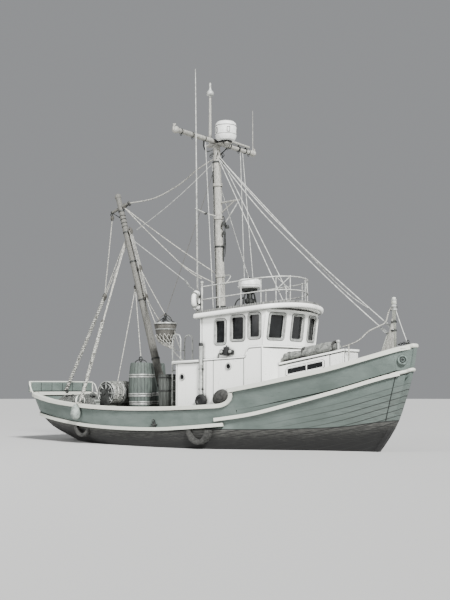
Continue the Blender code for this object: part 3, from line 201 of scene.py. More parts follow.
ink = linear(20, 21, 20)
sheerLine = [(-7.1, 1.62), (-5.0, 1.36), (-3.0, 1.25), (-1.0, 1.26), (0.0, 1.33), (1.0, 1.46),
             (2.2, 1.72), (3.4, 1.98), (5.0, 2.33), (6.0, 2.63), (7.1, 3.0)]
paintLine = [(-7.1, 0.95), (-5.4, 0.74), (-3.3, 0.56), (-1.7, 0.53), (-0.3, 0.56), (1.1, 0.6),
             (2.1, 0.585), (3.6, 0.615), (5.1, 0.7), (6.0, 0.83), (6.7, 0.9)]


def hullFinish():
    n = Nodes("hull paint, planked")
    place = n.axes()
    x, z = place[0], place[2]
    below = n.calc("SUBTRACT", n.curve(x, sheerLine), z)
    rank = n.calc("DIVIDE", below, 0.155)  # plank number
    seam = n.calc("ABSOLUTE", n.calc("SUBTRACT", n.calc("FRACT", rank), 0.5))
    waver = n.noise(n.mapped((1.2, 1.2, 6)), 3.0)
    seamLine = n.calc("SUBTRACT", 1.0, n.level(n.calc("ADD", seam, n.calc(
        "MULTIPLY", n.calc("SUBTRACT", waver, 0.5), 0.05)), 0.045, 0.1))
    toPaint = n.calc("SUBTRACT", z, n.curve(x, paintLine))
    upper = n.level(toPaint, -0.008, 0.008)
    # seams show towards the bow and on the dark bottom, hardly amidships
    forward = n.level(x, 2.6, 5.6)
    lowUpper = n.level(below, 0.85, 1.15)
    show = n.calc("MAXIMUM", n.calc("MULTIPLY", forward, lowUpper), n.calc(
        "SUBTRACT", 1.0, upper))
    seams = n.calc("MULTIPLY", seamLine, show)
    strokes = n.noise(n.mapped((0.9, 1, 16)), 3.4, 6, 0.7)
    scuffs = n.level(strokes, 0.6, 0.64)
    strokesFine = n.noise(n.mapped((1.0, 1, 22), rotation=(0, 0.12, 0)), 4.0, 4, 0.65)
    paint = n.ramp(n.noise(n.mapped((0.5, 1, 1.5)), 2.0), [
        (0.3, linear(80, 91, 86)), (0.7, linear(99, 110, 105))])
    paint = n.mix(n.calc("MULTIPLY", scuffs, 0.6), paint, linear(60, 70, 66))
    # hatched shade on the planks that run up to the stem
    bowShade = n.calc("MULTIPLY", n.level(x, 4.0, 6.4), n.level(n.calc("ADD", below, n.calc(
        "MULTIPLY", strokesFine, 0.9)), 1.3, 1.9))
    hatch = n.calc("MULTIPLY", bowShade, n.level(strokesFine, 0.42, 0.6))
    paint = n.mix(n.calc("MULTIPLY", hatch, 0.7), paint, linear(66, 68, 64))
    shade = n.level(n.calc("ADD", n.calc("MULTIPLY", n.level(strokesFine, 0.3, 0.7), 0.55),
                           n.calc("MULTIPLY", n.level(toPaint, -0.7, 0.0), 0.75)), 0.35, 1.15)
    bottom = n.ramp(shade, [(0.0, linear(8, 8, 8)), (0.4, linear(15, 15, 14)),
                            (0.6, linear(34, 34, 32)), (1.0, linear(88, 88, 84))])
    colour = n.mix(upper, bottom, paint)
    colour = n.mix(n.calc("MULTIPLY", seams, 0.85), colour, ink)
    edge = n.calc("SUBTRACT", 1.0, n.level(n.calc("ABSOLUTE", toPaint), 0.008, 0.02))
    colour = n.mix(edge, colour, ink)
    height = n.calc("SUBTRACT", n.calc("MULTIPLY", strokes, 0.25), seams)
    n.bump(height, 0.3, 0.01)
    return n.finish(colour, n.calc("ADD", 0.55, n.calc("MULTIPLY", strokes, 0.2)))


def cabinFinish():
    n = Nodes("cabin paint, grimy, painted crease shade")
    specks = n.level(n.noise(n.mapped(), 24, 4, 0.6), 0.6, 0.66)
    patches = n.level(n.noise(n.mapped(), 2.2, 3, 0.6), 0.45, 0.7)
    runs = n.level(n.noise(n.mapped((9, 9, 0.5)), 2.0, 4, 0.65), 0.56, 0.8)
    colour = n.mix(n.calc("MULTIPLY", runs, 0.22), linear(250, 251, 246),
                   linear(150, 152, 146))
    colour = n.mix(n.calc("MULTIPLY", n.calc("MULTIPLY", specks, patches), 0.75), colour,
                   linear(95, 96, 92))
    # painted shade: darker colour in creases, from the ambient occlusion mask
    colour = n.mix(paintedCreaseShade(n), linear(70, 71, 68), colour)
    n.bump(n.noise(n.mapped(), 60, 2), 0.06, 0.004)
    return n.finish(colour, n.calc("ADD", 0.42, n.calc("MULTIPLY", patches, 0.15)))


def railFinish():
    n = Nodes("rail paint, chipped")
    worn = n.level(n.noise(n.mapped((1, 4, 7)), 5, 5, 0.7), 0.6, 0.68)
    colour = n.mix(n.calc("MULTIPLY", worn, 0.55), linear(200, 202, 192),
                   linear(120, 120, 110))
    # painted shade: darker colour in creases, from the ambient occlusion mask
    colour = n.mix(paintedCreaseShade(n), linear(45, 45, 42), colour)
    n.bump(worn, 0.15, 0.004)
    return n.finish(colour, 0.55)


def timberFinish(name, light, dark, scale=(1, 1, 1), strength=0.5, edge=0.3):
    # grain runs along the axis that has the smallest scale
    n = Nodes(name)
    grain = n.noise(n.mapped(scale), 7, 6, 0.7, 0.4)
    cracks = n.level(n.noise(n.mapped(tuple(2.2 * s for s in scale)), 5, 4, 0.75), 0.6, 0.66)
    colour = n.ramp(grain, [(0.3, dark), (0.62, light)])
    colour = n.mix(n.calc("MULTIPLY", cracks, strength), colour, ink)
    # painted shade: darker colour in creases, from the ambient occlusion mask
    colour = n.mix(paintedCreaseShade(n), linear(28, 28, 26), colour)
    n.bump(n.calc("SUBTRACT", grain, cracks), edge, 0.008)
    return n.finish(colour, 0.75)


def deckFinish():
    n = Nodes("deck planks")
    y = n.axes()[1]
    seam = n.calc("ABSOLUTE", n.calc("SUBTRACT", n.calc("FRACT", n.calc("DIVIDE", y, 0.13)),
                                     0.5))
    line = n.calc("SUBTRACT", 1.0, n.level(seam, 0.02, 0.06))
    grain = n.noise(n.mapped((0.8, 9, 1)), 5, 5, 0.7)
    colour = n.ramp(grain, [(0.3, linear(70, 68, 62)), (0.7, linear(124, 121, 111))])
    colour = n.mix(n.calc("MULTIPLY", line, 0.9), colour, ink)
    # painted shade: darker colour in creases, from the ambient occlusion mask
    colour = n.mix(paintedCreaseShade(n), linear(24, 24, 22), colour)
    n.bump(n.calc("SUBTRACT", grain, line), 0.35, 0.01)
    return n.finish(colour, 0.8)


def staveFinish(name, centre, count, dark=linear(52, 58, 55),
                light=linear(94, 104, 98)):
    # staves of a cask: seams by angle round its own axis
    n = Nodes(name)
    place = n.add("ShaderNodeSeparateXYZ")
    n.link(n.mapped((1, 1, 1), (-centre[0], -centre[1], 0)), place.inputs[0])
    turn = n.calc("ARCTAN2", place.outputs[1], place.outputs[0])
    rank = n.calc("MULTIPLY", turn, count / (2 * math.pi))
    seam = n.calc("ABSOLUTE", n.calc("SUBTRACT", n.calc("FRACT", rank), 0.5))
    line = n.calc("SUBTRACT", 1.0, n.level(seam, 0.035, 0.09))
    grain = n.noise(n.mapped((10, 10, 0.9)), 4, 5, 0.7)
    hatch = n.level(n.noise(n.mapped((22, 22, 1.4)), 3, 4, 0.7), 0.58, 0.64)
    colour = n.ramp(grain, [(0.3, dark), (0.7, light)])
    colour = n.mix(n.calc("MULTIPLY", hatch, 0.45), colour, linear(36, 40, 38))
    colour = n.mix(n.calc("MULTIPLY", line, 0.9), colour, ink)
    # painted shade: darker colour in creases, from the ambient occlusion mask
    colour = n.mix(paintedCreaseShade(n), linear(26, 28, 27), colour)
    n.bump(n.calc("SUBTRACT", grain, line), 0.5, 0.012)
    return n.finish(colour, 0.75)


def metalFinish(name, light, dark, rough=0.45, metallic=0.6):
    n = Nodes(name)
    spots = n.noise(n.mapped(), 9, 5, 0.65)
    colour = n.ramp(spots, [(0.35, dark), (0.62, light)])
    # painted shade: darker colour in creases, from the ambient occlusion mask
    colour = n.mix(paintedCreaseShade(n), ink, colour)
    n.bump(n.noise(n.mapped(), 40, 3), 0.12, 0.003)
    return n.finish(colour, n.calc("ADD", rough, n.calc("MULTIPLY", spots, 0.2)), metallic)


def ropeFinish(name, light, dark, pitch=0.06):
    # strand-like mottling from distorted noise in object space
    n = Nodes(name)
    twist = n.noise(n.mapped(), 1 / pitch * 2.2, 2, 0.5, 1.2)
    colour = n.ramp(twist, [(0.38, dark), (0.56, light)])
    n.bump(twist, 0.6, 0.008)
    return n.finish(colour, 0.85)


def glassFinish():
    n = Nodes("window glass")
    smear = n.noise(n.mapped((1, 1, 3)), 3, 3)
    n.shader.inputs["Specular IOR Level"].default_value = 0.35
    n.bump(smear, 0.02, 0.002)
    return n.finish(n.ramp(smear, [(0.3, linear(12, 13, 14)), (0.8, linear(28, 30, 31))]),
                    n.calc("ADD", 0.08, n.calc("MULTIPLY", smear, 0.12)))


def canvasFinish():
    n = Nodes("canvas")
    folds = n.noise(n.mapped((3, 1, 3)), 4, 4, 0.6, 0.6)
    weave = n.noise(n.mapped(), 260, 2)
    # painted shade: the colour follows the fold noise, darker in the hollows of the folds
    colour = n.ramp(folds, [(0.32, linear(60, 62, 60)), (0.68, linear(142, 144, 139))])
    # painted shade: darker colour in creases, from the ambient occlusion mask
    colour = n.mix(paintedCreaseShade(n), ink, colour)
    n.bump(n.calc("ADD", folds, n.calc("MULTIPLY", weave, 0.15)), 0.6, 0.02)
    return n.finish(colour, 0.9)


def rubberFinish():
    n = Nodes("tyre rubber")
    wear = n.noise(n.mapped(), 14, 5, 0.7)
    n.bump(wear, 0.5, 0.01)
    return n.finish(n.ramp(wear, [(0.35, linear(24, 24, 23)), (0.7, linear(74, 74, 71))]), 0.8)


def roofingFinish():
    n = Nodes("roof boards, tarred")
    x = n.axes()[0]
    seam = n.calc("ABSOLUTE", n.calc("SUBTRACT", n.calc("FRACT", n.calc("DIVIDE", x, 0.09)),
                                     0.5))
    waver = n.noise(n.mapped((3, 1.2, 1)), 4)
    line = n.calc("SUBTRACT", 1.0, n.level(n.calc("ADD", seam, n.calc("MULTIPLY", waver, 0.3)),
                                           0.16, 0.3))
    colour = n.ramp(n.noise(n.mapped((6, 1, 1)), 4, 5, 0.7), [
        (0.3, linear(66, 67, 65)), (0.72, linear(150, 151, 147))])
    colour = n.mix(n.calc("MULTIPLY", line, 0.8), colour, ink)
    # painted shade: darker colour in creases, from the ambient occlusion mask
    colour = n.mix(paintedCreaseShade(n), ink, colour)
    n.bump(line, 0.3, 0.008)
    return n.finish(colour, 0.8)


looks = {
    "hull": hullFinish(),
    "cabin": cabinFinish(),
    "rail": railFinish(),
    "deck": deckFinish(),
    "boomWood": timberFinish("boom timber, weathered", linear(122, 121, 115), linear(30, 30, 28),
                             (12, 12, 1.6), 0.85),
    "pale": timberFinish("pale boards", linear(176, 182, 175), linear(128, 134, 128),
                         (1, 8, 8), 0.35),
    "spar": timberFinish("spar timber", linear(186, 185, 177), linear(72, 71, 66),
                         (10, 10, 1.3), 0.85),
    "darkWood": timberFinish("dark timber", linear(92, 90, 84), linear(42, 41, 38),
                             (9, 9, 0.9)),
    "boards": timberFinish("platform boards", linear(96, 94, 88), linear(46, 45, 42),
                           (1, 9, 9)),
    "castIron": metalFinish("cast iron", linear(70, 72, 70), linear(28, 29, 28), 0.5, 0.5),
    "zinc": metalFinish("galvanised", linear(186, 188, 184), linear(120, 122, 119), 0.4, 0.55),
    "bronze": metalFinish("bronze", linear(150, 118, 70), linear(92, 70, 42), 0.35, 0.9),
    "wire": metalFinish("rigging wire", linear(206, 207, 202), linear(150, 151, 146), 0.5, 0.2),
    "rope": ropeFinish("rope", linear(196, 195, 186), linear(84, 83, 77)),
    "thickRope": ropeFinish("heavy twisted rope", linear(186, 186, 178), linear(36, 36, 34),
                            0.11),
    "oldRope": ropeFinish("coiled rope, weathered", linear(128, 130, 124), linear(26, 27, 26),
                          0.09),
    "tubStaves": staveFinish("tub staves", (-1.2, -0.9), 16, linear(58, 61, 58),
                             linear(96, 100, 96)),
    "glass": glassFinish(),
    "canvas": canvasFinish(),
    "rubber": rubberFinish(),
    "plastic": metalFinish("gloss plastic", linear(240, 241, 238), linear(214, 215, 211), 0.3,
                           0.0),
    "black": metalFinish("black paint", linear(26, 27, 27), linear(12, 12, 12), 0.5, 0.1),
    "roofing": roofingFinish(),
    "frame": metalFinish("window frame", linear(190, 192, 188), linear(140, 142, 138), 0.4,
                         0.2),
}
print("finishes ready:", len(looks))


def newPiece(name, bm, look, body="hull", smooth=40):
    bmesh.ops.remove_doubles(bm, verts=bm.verts, dist=0.00005)
    bmesh.ops.recalc_face_normals(bm, faces=bm.faces)
    mesh = bpy.data.meshes.new(name)
    bm.to_mesh(mesh)
    bm.free()
    piece = bpy.data.objects.new(name, mesh)
    bpy.context.scene.collection.objects.link(piece)
    if smooth:
        mesh.shade_smooth()
        mesh.set_sharp_from_angle(angle=math.radians(smooth))
    mesh.materials.append(looks[look] if isinstance(look, str) else look)
    if body:
        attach(piece, body)
    return piece


def addBar(bm, start, end, r1, r2=None, sides=16):
    start, end = Vector(start), Vector(end)
    r2 = r1 if r2 is None else r2
    turn = (end - start).to_track_quat("Z", "Y").to_matrix().to_4x4()
    bmesh.ops.create_cone(bm, cap_ends=True, segments=sides, radius1=r1, radius2=r2,
                          depth=(end - start).length,
                          matrix=Matrix.Translation((start + end) / 2) @ turn)


def addBox(bm, low, high, bevel=0.0, turn=None):
    low, high = Vector(low), Vector(high)
    made = bmesh.ops.create_cube(bm, size=1.0)["verts"]
    bmesh.ops.scale(bm, vec=high - low, verts=made)
    if bevel:
        edges = list({e for v in made for e in v.link_edges})
        done = bmesh.ops.bevel(bm, geom=edges, offset=bevel, offset_type="OFFSET",
                               affect="EDGES", segments=2, profile=0.5, material=-1)
        made = list({v for f in done["faces"] for v in f.verts} | {v for v in made
                                                                   if v.is_valid})
    if turn is not None:
        bmesh.ops.rotate(bm, cent=(0, 0, 0), matrix=turn, verts=made)
    bmesh.ops.translate(bm, vec=(low + high) / 2, verts=made)
    return made


def addBall(bm, centre, radius, squash=(1, 1, 1), rows=12):
    made = bmesh.ops.create_uvsphere(bm, u_segments=2 * rows, v_segments=rows,
                                     radius=radius)["verts"]
    bmesh.ops.scale(bm, vec=squash, verts=made)
    bmesh.ops.translate(bm, vec=centre, verts=made)
    return made


def addSpin(bm, profile, centre, axis=(0, 0, 1), steps=32):
    # profile of (radius, height) pairs, turned about an axis through centre
    centre, axis = Vector(centre), Vector(axis).normalized()
    side = axis.orthogonal().normalized()
    verts = [bm.verts.new(centre + side * r + axis * h) for r, h in profile]
    edges = [bm.edges.new(pair) for pair in zip(verts, verts[1:])]
    bmesh.ops.spin(bm, geom=verts + edges, cent=centre, axis=axis, angle=2 * math.pi,
                   steps=steps, use_merge=True)


def addRing(bm, centre, axis, radius, thick, steps=32, sides=10, flat=1.0):
    # a ring of round section
    profile = []
    for i in range(sides + 1):
        a = 2 * math.pi * i / sides
        profile.append((radius + thick * math.cos(a), thick * flat * math.sin(a)))
    addSpin(bm, profile, centre, axis, steps)


def smoothPath(points, steps=8):
    # a soft curve through the points
    points = [Vector(p) for p in points]
    path = []
    for i in range(len(points) - 1):
        p0 = points[max(i - 1, 0)]
        p1, p2 = points[i], points[i + 1]
        p3 = points[min(i + 2, len(points) - 1)]
        for k in range(steps):
            t = k / steps
            path.append(0.5 * ((2 * p1) + (p2 - p0) * t + (2 * p0 - 5 * p1 + 4 * p2 - p3) * t
                               ** 2 + (3 * p1 - p0 - 3 * p2 + p3) * t ** 3))
    path.append(points[-1])
    return path


def sagged(start, end, sag, steps=14):
    start, end = Vector(start), Vector(end)
    path = []
    for i in range(steps + 1):
        t = i / steps
        path.append(start.lerp(end, t) - Vector((0, 0, sag * 4 * t * (1 - t))))
    return path


def addTube(bm, path, radius, sides=8, ends=True):
    # sweeps a circle along a path
    path = [Vector(p) for p in path]
    last = None
    side = None
    for i, spot in enumerate(path):
        ahead = (path[min(i + 1, len(path) - 1)] - path[max(i - 1, 0)]).normalized()
        if side is None:
            side = ahead.orthogonal().normalized()
        side = (side - ahead * side.dot(ahead)).normalized()
        up = ahead.cross(side)
        ring = bmesh.ops.create_circle(bm, cap_ends=False, segments=sides,
                                       radius=radius)["verts"]
        turn = Matrix((side, up, ahead)).transposed().to_4x4()
        bmesh.ops.transform(bm, matrix=Matrix.Translation(spot) @ turn, verts=ring)
        edges = list({e for v in ring for e in v.link_edges})
        if last:
            bmesh.ops.bridge_loops(bm, edges=last + edges)
        elif ends:
            bmesh.ops.contextual_create(bm, geom=edges)
        last = edges
    if ends:
        bmesh.ops.contextual_create(bm, geom=last)


def refined(nodeName, look, smooth=35, name=None, edge=0.0, even=False):
    # a merged, smooth-shaded copy of a solid with its finish, in place of the solid
    source = nodes[nodeName]
    bm = bmesh.new()
    bm.from_mesh(source.data)
    bmesh.ops.remove_doubles(bm, verts=bm.verts, dist=0.0001)
    bmesh.ops.dissolve_degenerate(bm, edges=bm.edges, dist=0.0002)
    mesh = bpy.data.meshes.new(nodeName)
    bm.to_mesh(mesh)
    bm.free()
    mesh.materials.clear()
    mesh.materials.append(looks[look])
    mesh.shade_smooth()
    mesh.set_sharp_from_angle(angle=math.radians(smooth))
    piece = bpy.data.objects.new(name or nodeName + "_dressed", mesh)
    bpy.context.scene.collection.objects.link(piece)
    if even:
        normals = piece.modifiers.new("even shading", "WEIGHTED_NORMAL")
        normals.keep_sharp = True
        normals.weight = 60
    if edge:
        soften = piece.modifiers.new("eased edges", "BEVEL")
        soften.width = edge
        soften.segments = 3
        soften.limit_method = "ANGLE"
        soften.angle_limit = math.radians(40)
    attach(piece, source["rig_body"])
    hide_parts(nodeName)
    return piece


def paintNode(nodeName, look):
    source = nodes[nodeName]
    if not source.data.materials:
        source.data.materials.append(looks[look])
    for i in range(len(source.data.materials)):
        source.data.materials[i] = looks[look]


# hull and houses keep their solids, smoothed where round

dressedFresh = {
    "hull": "hull bulwark_aft bulwark_fore stern_board stem keel rudder",
    "rail": "cap_rail_aft cap_rail_fore rub_strake_aft rub_strake_fore_starboard "
            "rub_strake_fore_port bow_post",
    "deck": "main_deck foredeck", "bronze": "propeller", "castIron": "winch_frame windlass boom_step",
    "darkWood": "helm_wheel basket", "zinc": "ladder", "spar": "yard", "wire": "whip_antenna",
    "tubStaves": "tub"}
dressedAsBuilt = {
    "cabin": "deckhouse_side_starboard deckhouse_side_port deckhouse_aft_wall deckhouse_front "
             "deckhouse_roof wheelhouse_side_starboard wheelhouse_side_port wheelhouse_aft_wall "
             "wheelhouse_front trunk_walls trunk_roof deckhouse_door",
    "glass": "glazing_front glazing_port glazing_starboard", "boards": "wheelhouse_floor platform",
    "pale": "hatch_coaming hatch_lid", "darkWood": "helm_stand", "castIron": "engine winch_drum",
    "spar": "mast", "boomWood": "boom"}
for look, names in dressedFresh.items():
    for name in names.split():
        refined(name, look, edge=0.02 if look == "rail" and name != "bow_post" else 0.0,
                even=look == "hull")
for look, names in dressedAsBuilt.items():
    for name in names.split():
        paintNode(name, look)
print("solids dressed")


rigKit = {"wire": 0.012, "stay": 0.016, "rope": 0.02, "guy": 0.03}
boomFoot = Vector((-2.07, 0, 1.33))
boomWay = (Vector((-4.33, 0, 8.44)) - boomFoot).normalized()


def mastAt(z):
    return 0.33 - 0.26 * (z - 2.6) / 7.05


def onBoom(z, out=0.0):
    # a point on the boom, moved out from its axis towards the bow
    side = boomWay.cross(Vector((0, 1, 0)))
    return boomFoot + boomWay * ((z - boomFoot.z) / boomWay.z) - side * out


def ropes(name, paths, radius, look, body="hull", sides=8):
    bm = bmesh.new()
    for path in paths:
        addTube(bm, path, radius, sides)
    return newPiece(name, bm, look, body, 60)


def crossing(name, paths, radius, look):
    # ropes from the boat to the boom, made in place and left on no body
    piece = ropes(name, paths, radius, look, None)
    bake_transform(piece)
    return piece


def twisted(path, radius, turns, strands=2):
    # the strands of a rope or tackle wound round a path
    path = [Vector(p) for p in path]
    start, end = path[0], path[-1]
    ahead = (end - start).normalized()
    side = ahead.orthogonal().normalized()
    up = ahead.cross(side)
    made = []
    for k in range(strands):
        line = []
        count = int(turns * 8)
        for i in range(count + 1):
            t = i / count
            a = 2 * math.pi * (turns * t + k / strands)
            line.append(start.lerp(end, t) + radius * (side * math.cos(a) + up * math.sin(a)))
        made.append(line)
    return made


def addBlock(bm, centre, way, size=0.11):
    # wooden pulley block: rounded cheeks with a sheave between, and a strap
    centre, way = Vector(centre), Vector(way).normalized()
    turn = way.to_track_quat("Z", "Y").to_matrix().to_4x4()
    for y in (-0.42, 0.42):
        made = bmesh.ops.create_uvsphere(bm, u_segments=14, v_segments=8,
                                         radius=size)["verts"]
        bmesh.ops.scale(bm, vec=(0.72, 0.2, 1.15), verts=made)
        bmesh.ops.translate(bm, vec=(0, y * size, 0), verts=made)
        bmesh.ops.transform(bm, matrix=Matrix.Translation(centre) @ turn, verts=made)
    across = turn.to_3x3() @ Vector((0, 1, 0))
    addBar(bm, centre - across * size * 0.36, centre + across * size * 0.36, size * 0.55,
           sides=16)
    addBar(bm, centre - across * size * 0.75, centre + across * size * 0.75, size * 0.16,
           sides=10)
    addRing(bm, centre + way * size * 1.25, across, size * 0.3, size * 0.09, 16, 8)


def addTurnbuckle(bm, start, end, radius=0.028):
    start, end = Vector(start), Vector(end)
    way = end - start
    addBar(bm, start, end, radius * 0.35, sides=8)
    side = way.normalized().orthogonal().normalized() * radius
    for s in (-1, 1):
        addBar(bm, start + way * 0.22 + side * s, start + way * 0.78 + side * s,
               radius * 0.4, sides=8)
    for t in (0.2, 0.8):
        addBar(bm, start + way * (t - 0.06), start + way * (t + 0.06), radius * 1.3, sides=10)
    addRing(bm, start, side, radius * 0.9, radius * 0.3, 14, 6)
    addRing(bm, end, side, radius * 0.9, radius * 0.3, 14, 6)


def makeRigging():
    wire, stay, rope = rigKit["wire"], rigKit["stay"], rigKit["rope"]
    fore = ropes("forestays", [
        smoothPath([(0.2, 0, 9.2), (1.95, 0, 7.34), (3.86, 0, 5.57), (5.3, 0, 4.33),
                    (6.15, 0, 3.62)], 5),
        smoothPath([(0.2, -0.02, 9.12), (1.85, -0.05, 7.27), (3.63, -0.07, 5.58),
                    (5.0, -0.06, 4.35), (6.0, -0.03, 3.49)], 5),
        smoothPath([(0.22, 0.03, 9.14), (3.79, 0.04, 5.56), (4.9, 0.03, 4.52),
                    (5.6, 0, 4.06)], 6)], stay, "wire")
    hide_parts("forestay")
    bm = bmesh.new()
    addTurnbuckle(bm, (6.15, 0, 3.62), (6.37, 0, 3.42))
    addTurnbuckle(bm, (6.0, -0.03, 3.49), (6.24, -0.02, 3.28))
    addRing(bm, (6.38, 0, 3.4), (0, 0, 1), 0.062, 0.014, 20, 8)
    newPiece("forestay_turnbuckles", bm, "zinc")
    ropes("roof_stays", [
        [(0.22, -0.05, 9.08), (3.14, -0.7, 4.34)], [(0.24, 0.03, 9.14), (3.19, -0.36, 4.42)]],
        stay * 0.85, "wire")
    ropes("halyards", [
        [(0.05, 1.3, 9.66), (0.32, 1.17, 5.0)], [(0.05, 1.42, 9.66), (0.75, 1.18, 4.3)],
        [(mastAt(8.3), 0.12, 8.3), (0.6, 1.18, 5.02)],
        [(0.05, -0.55, 9.66), (0.42, -0.6, 4.26)]], wire, "wire")
    crossing("topping_lift", [smoothPath([(0.02, 0, 9.2), (-0.7, 0, 8.94), (-1.5, 0, 8.53),
                                          (-2.6, 0, 8.2), (-3.74, 0, 8.16)], 6)],
             rope, "rope")
    crossing("boom_fall", [sagged((0.03, 0, 9.12), (-3.42, 0, 7.2), 0.12)], wire, "wire")
    start = onBoom(8.0, 0.16)
    knee = Vector((-1.3, -0.2, 5.86))
    crossing("boom_guys_fore", [
        sagged(start, (mastAt(5.4) - 0.14, 0, 5.42), 0.06), sagged(start, knee, 0.03, 6),
        sagged(knee, (0.43, -1.2, 5.14), 0.05, 6),
        sagged(knee, (mastAt(5.1) - 0.14, -0.03, 5.1), 0.05, 6)],
        stay, "rope")
    start = onBoom(6.9, 0.12)
    end = Vector((-0.28, -1.1, 5.12))
    crossing("davit_line", [[start, end]], wire, "wire")
    bm = bmesh.new()
    addBar(bm, end, end + Vector((0.28, -0.16, -0.2)), 0.035, 0.028, 12)
    addRing(bm, end, (1, 0, 1), 0.045, 0.014, 16, 8)
    addTube(bm, [end + Vector((0.28, -0.16, -0.2)), (0.33, -1.42, 4.78)], 0.014)
    newPiece("davit_shackle", bm, "zinc")
    # tackle up the fore side of the boom
    spots = [onBoom(7.12, 0.2), onBoom(5.78, 0.24), onBoom(4.8, 0.2)]
    bm = bmesh.new()
    for spot in spots:
        addBlock(bm, spot, boomWay, 0.1)
    addBlock(bm, onBoom(8.02, 0.2), boomWay, 0.075)
    addBlock(bm, (-4.6, 0, 7.72), (0.05, 0, 1), 0.08)
    newPiece("boom_blocks", bm, "darkWood", "boom")
    lines = []
    for a, b in zip(spots, spots[1:]):
        for s in (-0.055, 0.0, 0.055):
            lines.append([a + Vector((0, s, 0)), b + Vector((0.01, s * 1.2, 0))])
    ropes("boom_tackle", lines, 0.013, "rope", "boom", 6)
    # lines from the tackle down to the basket, winch and cask
    rim = [(-1.43, -0.75, 4.12), (-1.77, -0.85, 3.86), (-1.72, -0.62, 3.87)]
    crossing("basket_lines", [sagged(rim[0], spots[1], 0.03, 8),
                              sagged(rim[1], spots[2], 0.03, 8),
                              sagged(rim[2], spots[2], 0.03, 8)],
             wire, "rope")
    aft = onBoom(5.25, -0.16)
    crossing("winch_fall", [sagged((-3.39, -0.9, 2.02), aft, 0.02, 8)], wire * 1.1, "rope")
    crossing("cask_fall", [sagged((-2.5, -0.75, 2.83), aft, 0.02, 8)], wire * 1.1, "rope")
    bm = bmesh.new()
    addBlock(bm, aft, boomWay, 0.07)
    newPiece("winch_block", bm, "darkWood", "boom")
    # quarter guys: single parts above the block, heavy twisted parts below
    block = Vector((-5.02, 0.08, 4.98))
    foot = Vector((-6.93, 0.1, 1.72))
    tops = [Vector((-4.61, 0, 7.62)), onBoom(6.72, -0.14), onBoom(6.9, -0.14)]
    crossing("stern_guy_upper", [[block, tops[0]], [block + Vector((0.03, 0, 0)), tops[1]],
                                 [block - Vector((0.03, 0, 0)), tops[2]]],
             stay, "rope")
    crossing("stern_guy", twisted([foot, block], 0.035, 26), 0.03, "thickRope")
    foot2 = Vector((-4.13, -1.86, 1.36))
    mid2 = foot2.lerp(tops[2], 0.48)
    crossing("quarter_guy_upper", [[mid2, tops[2]], [mid2 + Vector((0.03, 0, 0)),
                                                     tops[2] + Vector((0.03, 0.03, 0))]],
             stay, "rope")
    crossing("quarter_guy", twisted([foot2, mid2], 0.035, 22), 0.03, "thickRope")
    bm = bmesh.new()
    addBlock(bm, block, (0.3, 0, 1), 0.1)
    piece = newPiece("stern_guy_block", bm, "darkWood", None)
    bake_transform(piece)
    bm = bmesh.new()
    addBlock(bm, mid2, tops[2] - foot2, 0.075)
    piece = newPiece("quarter_guy_block", bm, "darkWood", None)
    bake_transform(piece)
    # slack rope from the bow post down to the trunk
    ropes("bow_rope", [smoothPath([(6.37, -0.03, 4.06), (6.28, -0.06, 3.9),
                                   (6.2, -0.1, 3.62), (6.02, -0.18, 3.5), (5.75, -0.26, 3.37),
                                   (5.5, -0.36, 3.13), (5.22, -0.43, 3.0),
                                   (5.0, -0.42, 2.95)], 6),
                       smoothPath([(5.2, -0.44, 3.0), (5.22, -0.46, 2.8),
                                   (5.2, -0.45, 2.55)], 5)], rope * 0.9, "rope")
    ropes("bow_wire", [sagged((6.45, 0, 4.02), (6.83, 0, 2.99), 0.02, 6)], wire, "wire")
    ropes("basket_tethers", [sagged((-1.2, -0.78, 3.1), (-0.5, -0.95, 2.64), 0.04, 8),
                             sagged((-1.07, -0.72, 3.6), (-0.66, -0.9, 3.0), 0.04, 8)],
          wire, "rope")


makeRigging()
print("rigging rove")


fenderKit = {"buoy": (-4.04, 1.0), "hawse": (6.77, 2.55)}


def halfBreadth(x):
    # outside of the planking at rail height
    table = [(-7.0, 1.35), (-6.5, 1.68), (-5.0, 1.96), (-3.0, 2.12), (-1.0, 2.19), (1.0, 2.2),
             (3.0, 2.02), (5.0, 1.42), (6.0, 0.9), (6.8, 0.36)]
    for (x0, y0), (x1, y1) in zip(table, table[1:]):
        if x <= x1:
            return y0 + (y1 - y0) * (x - x0) / (x1 - x0)
    return table[-1][1]


def makeFenders():
    for side in (-1, 1):
        tag = "starboard" if side < 0 else "port"
        x, z = fenderKit["buoy"]
        bm = bmesh.new()
        y = side * (halfBreadth(x) + 0.13)
        profile = [(0, 0.26), (0.05, 0.255), (0.07, 0.22), (0.13, 0.15), (0.165, 0.04),
                   (0.165, -0.06), (0.13, -0.17), (0.07, -0.225), (0, -0.235)]
        addSpin(bm, profile, (x, y, z), (0, 0, 1), 28)
        newPiece("buoy_" + tag, bm, "buoy")
        ropes("buoy_lanyard_" + tag, [smoothPath([(x, y, z + 0.25), (x, y - side * 0.02, 1.3),
                                                  (x, y - side * 0.18, 1.33),
                                                  (x - 0.03, y - side * 0.32, 1.3)], 4)],
              0.014, "rope")


looks["buoy"] = metalFinish("buoy skin", linear(150, 158, 152), linear(98, 106, 101), 0.5, 0.0)
makeFenders()


buoyKit = {"centre": (0.38, -1.37, 4.46), "axis": (0.95, 0.3, 0.0), "radius": 0.235,
           "thick": 0.075}


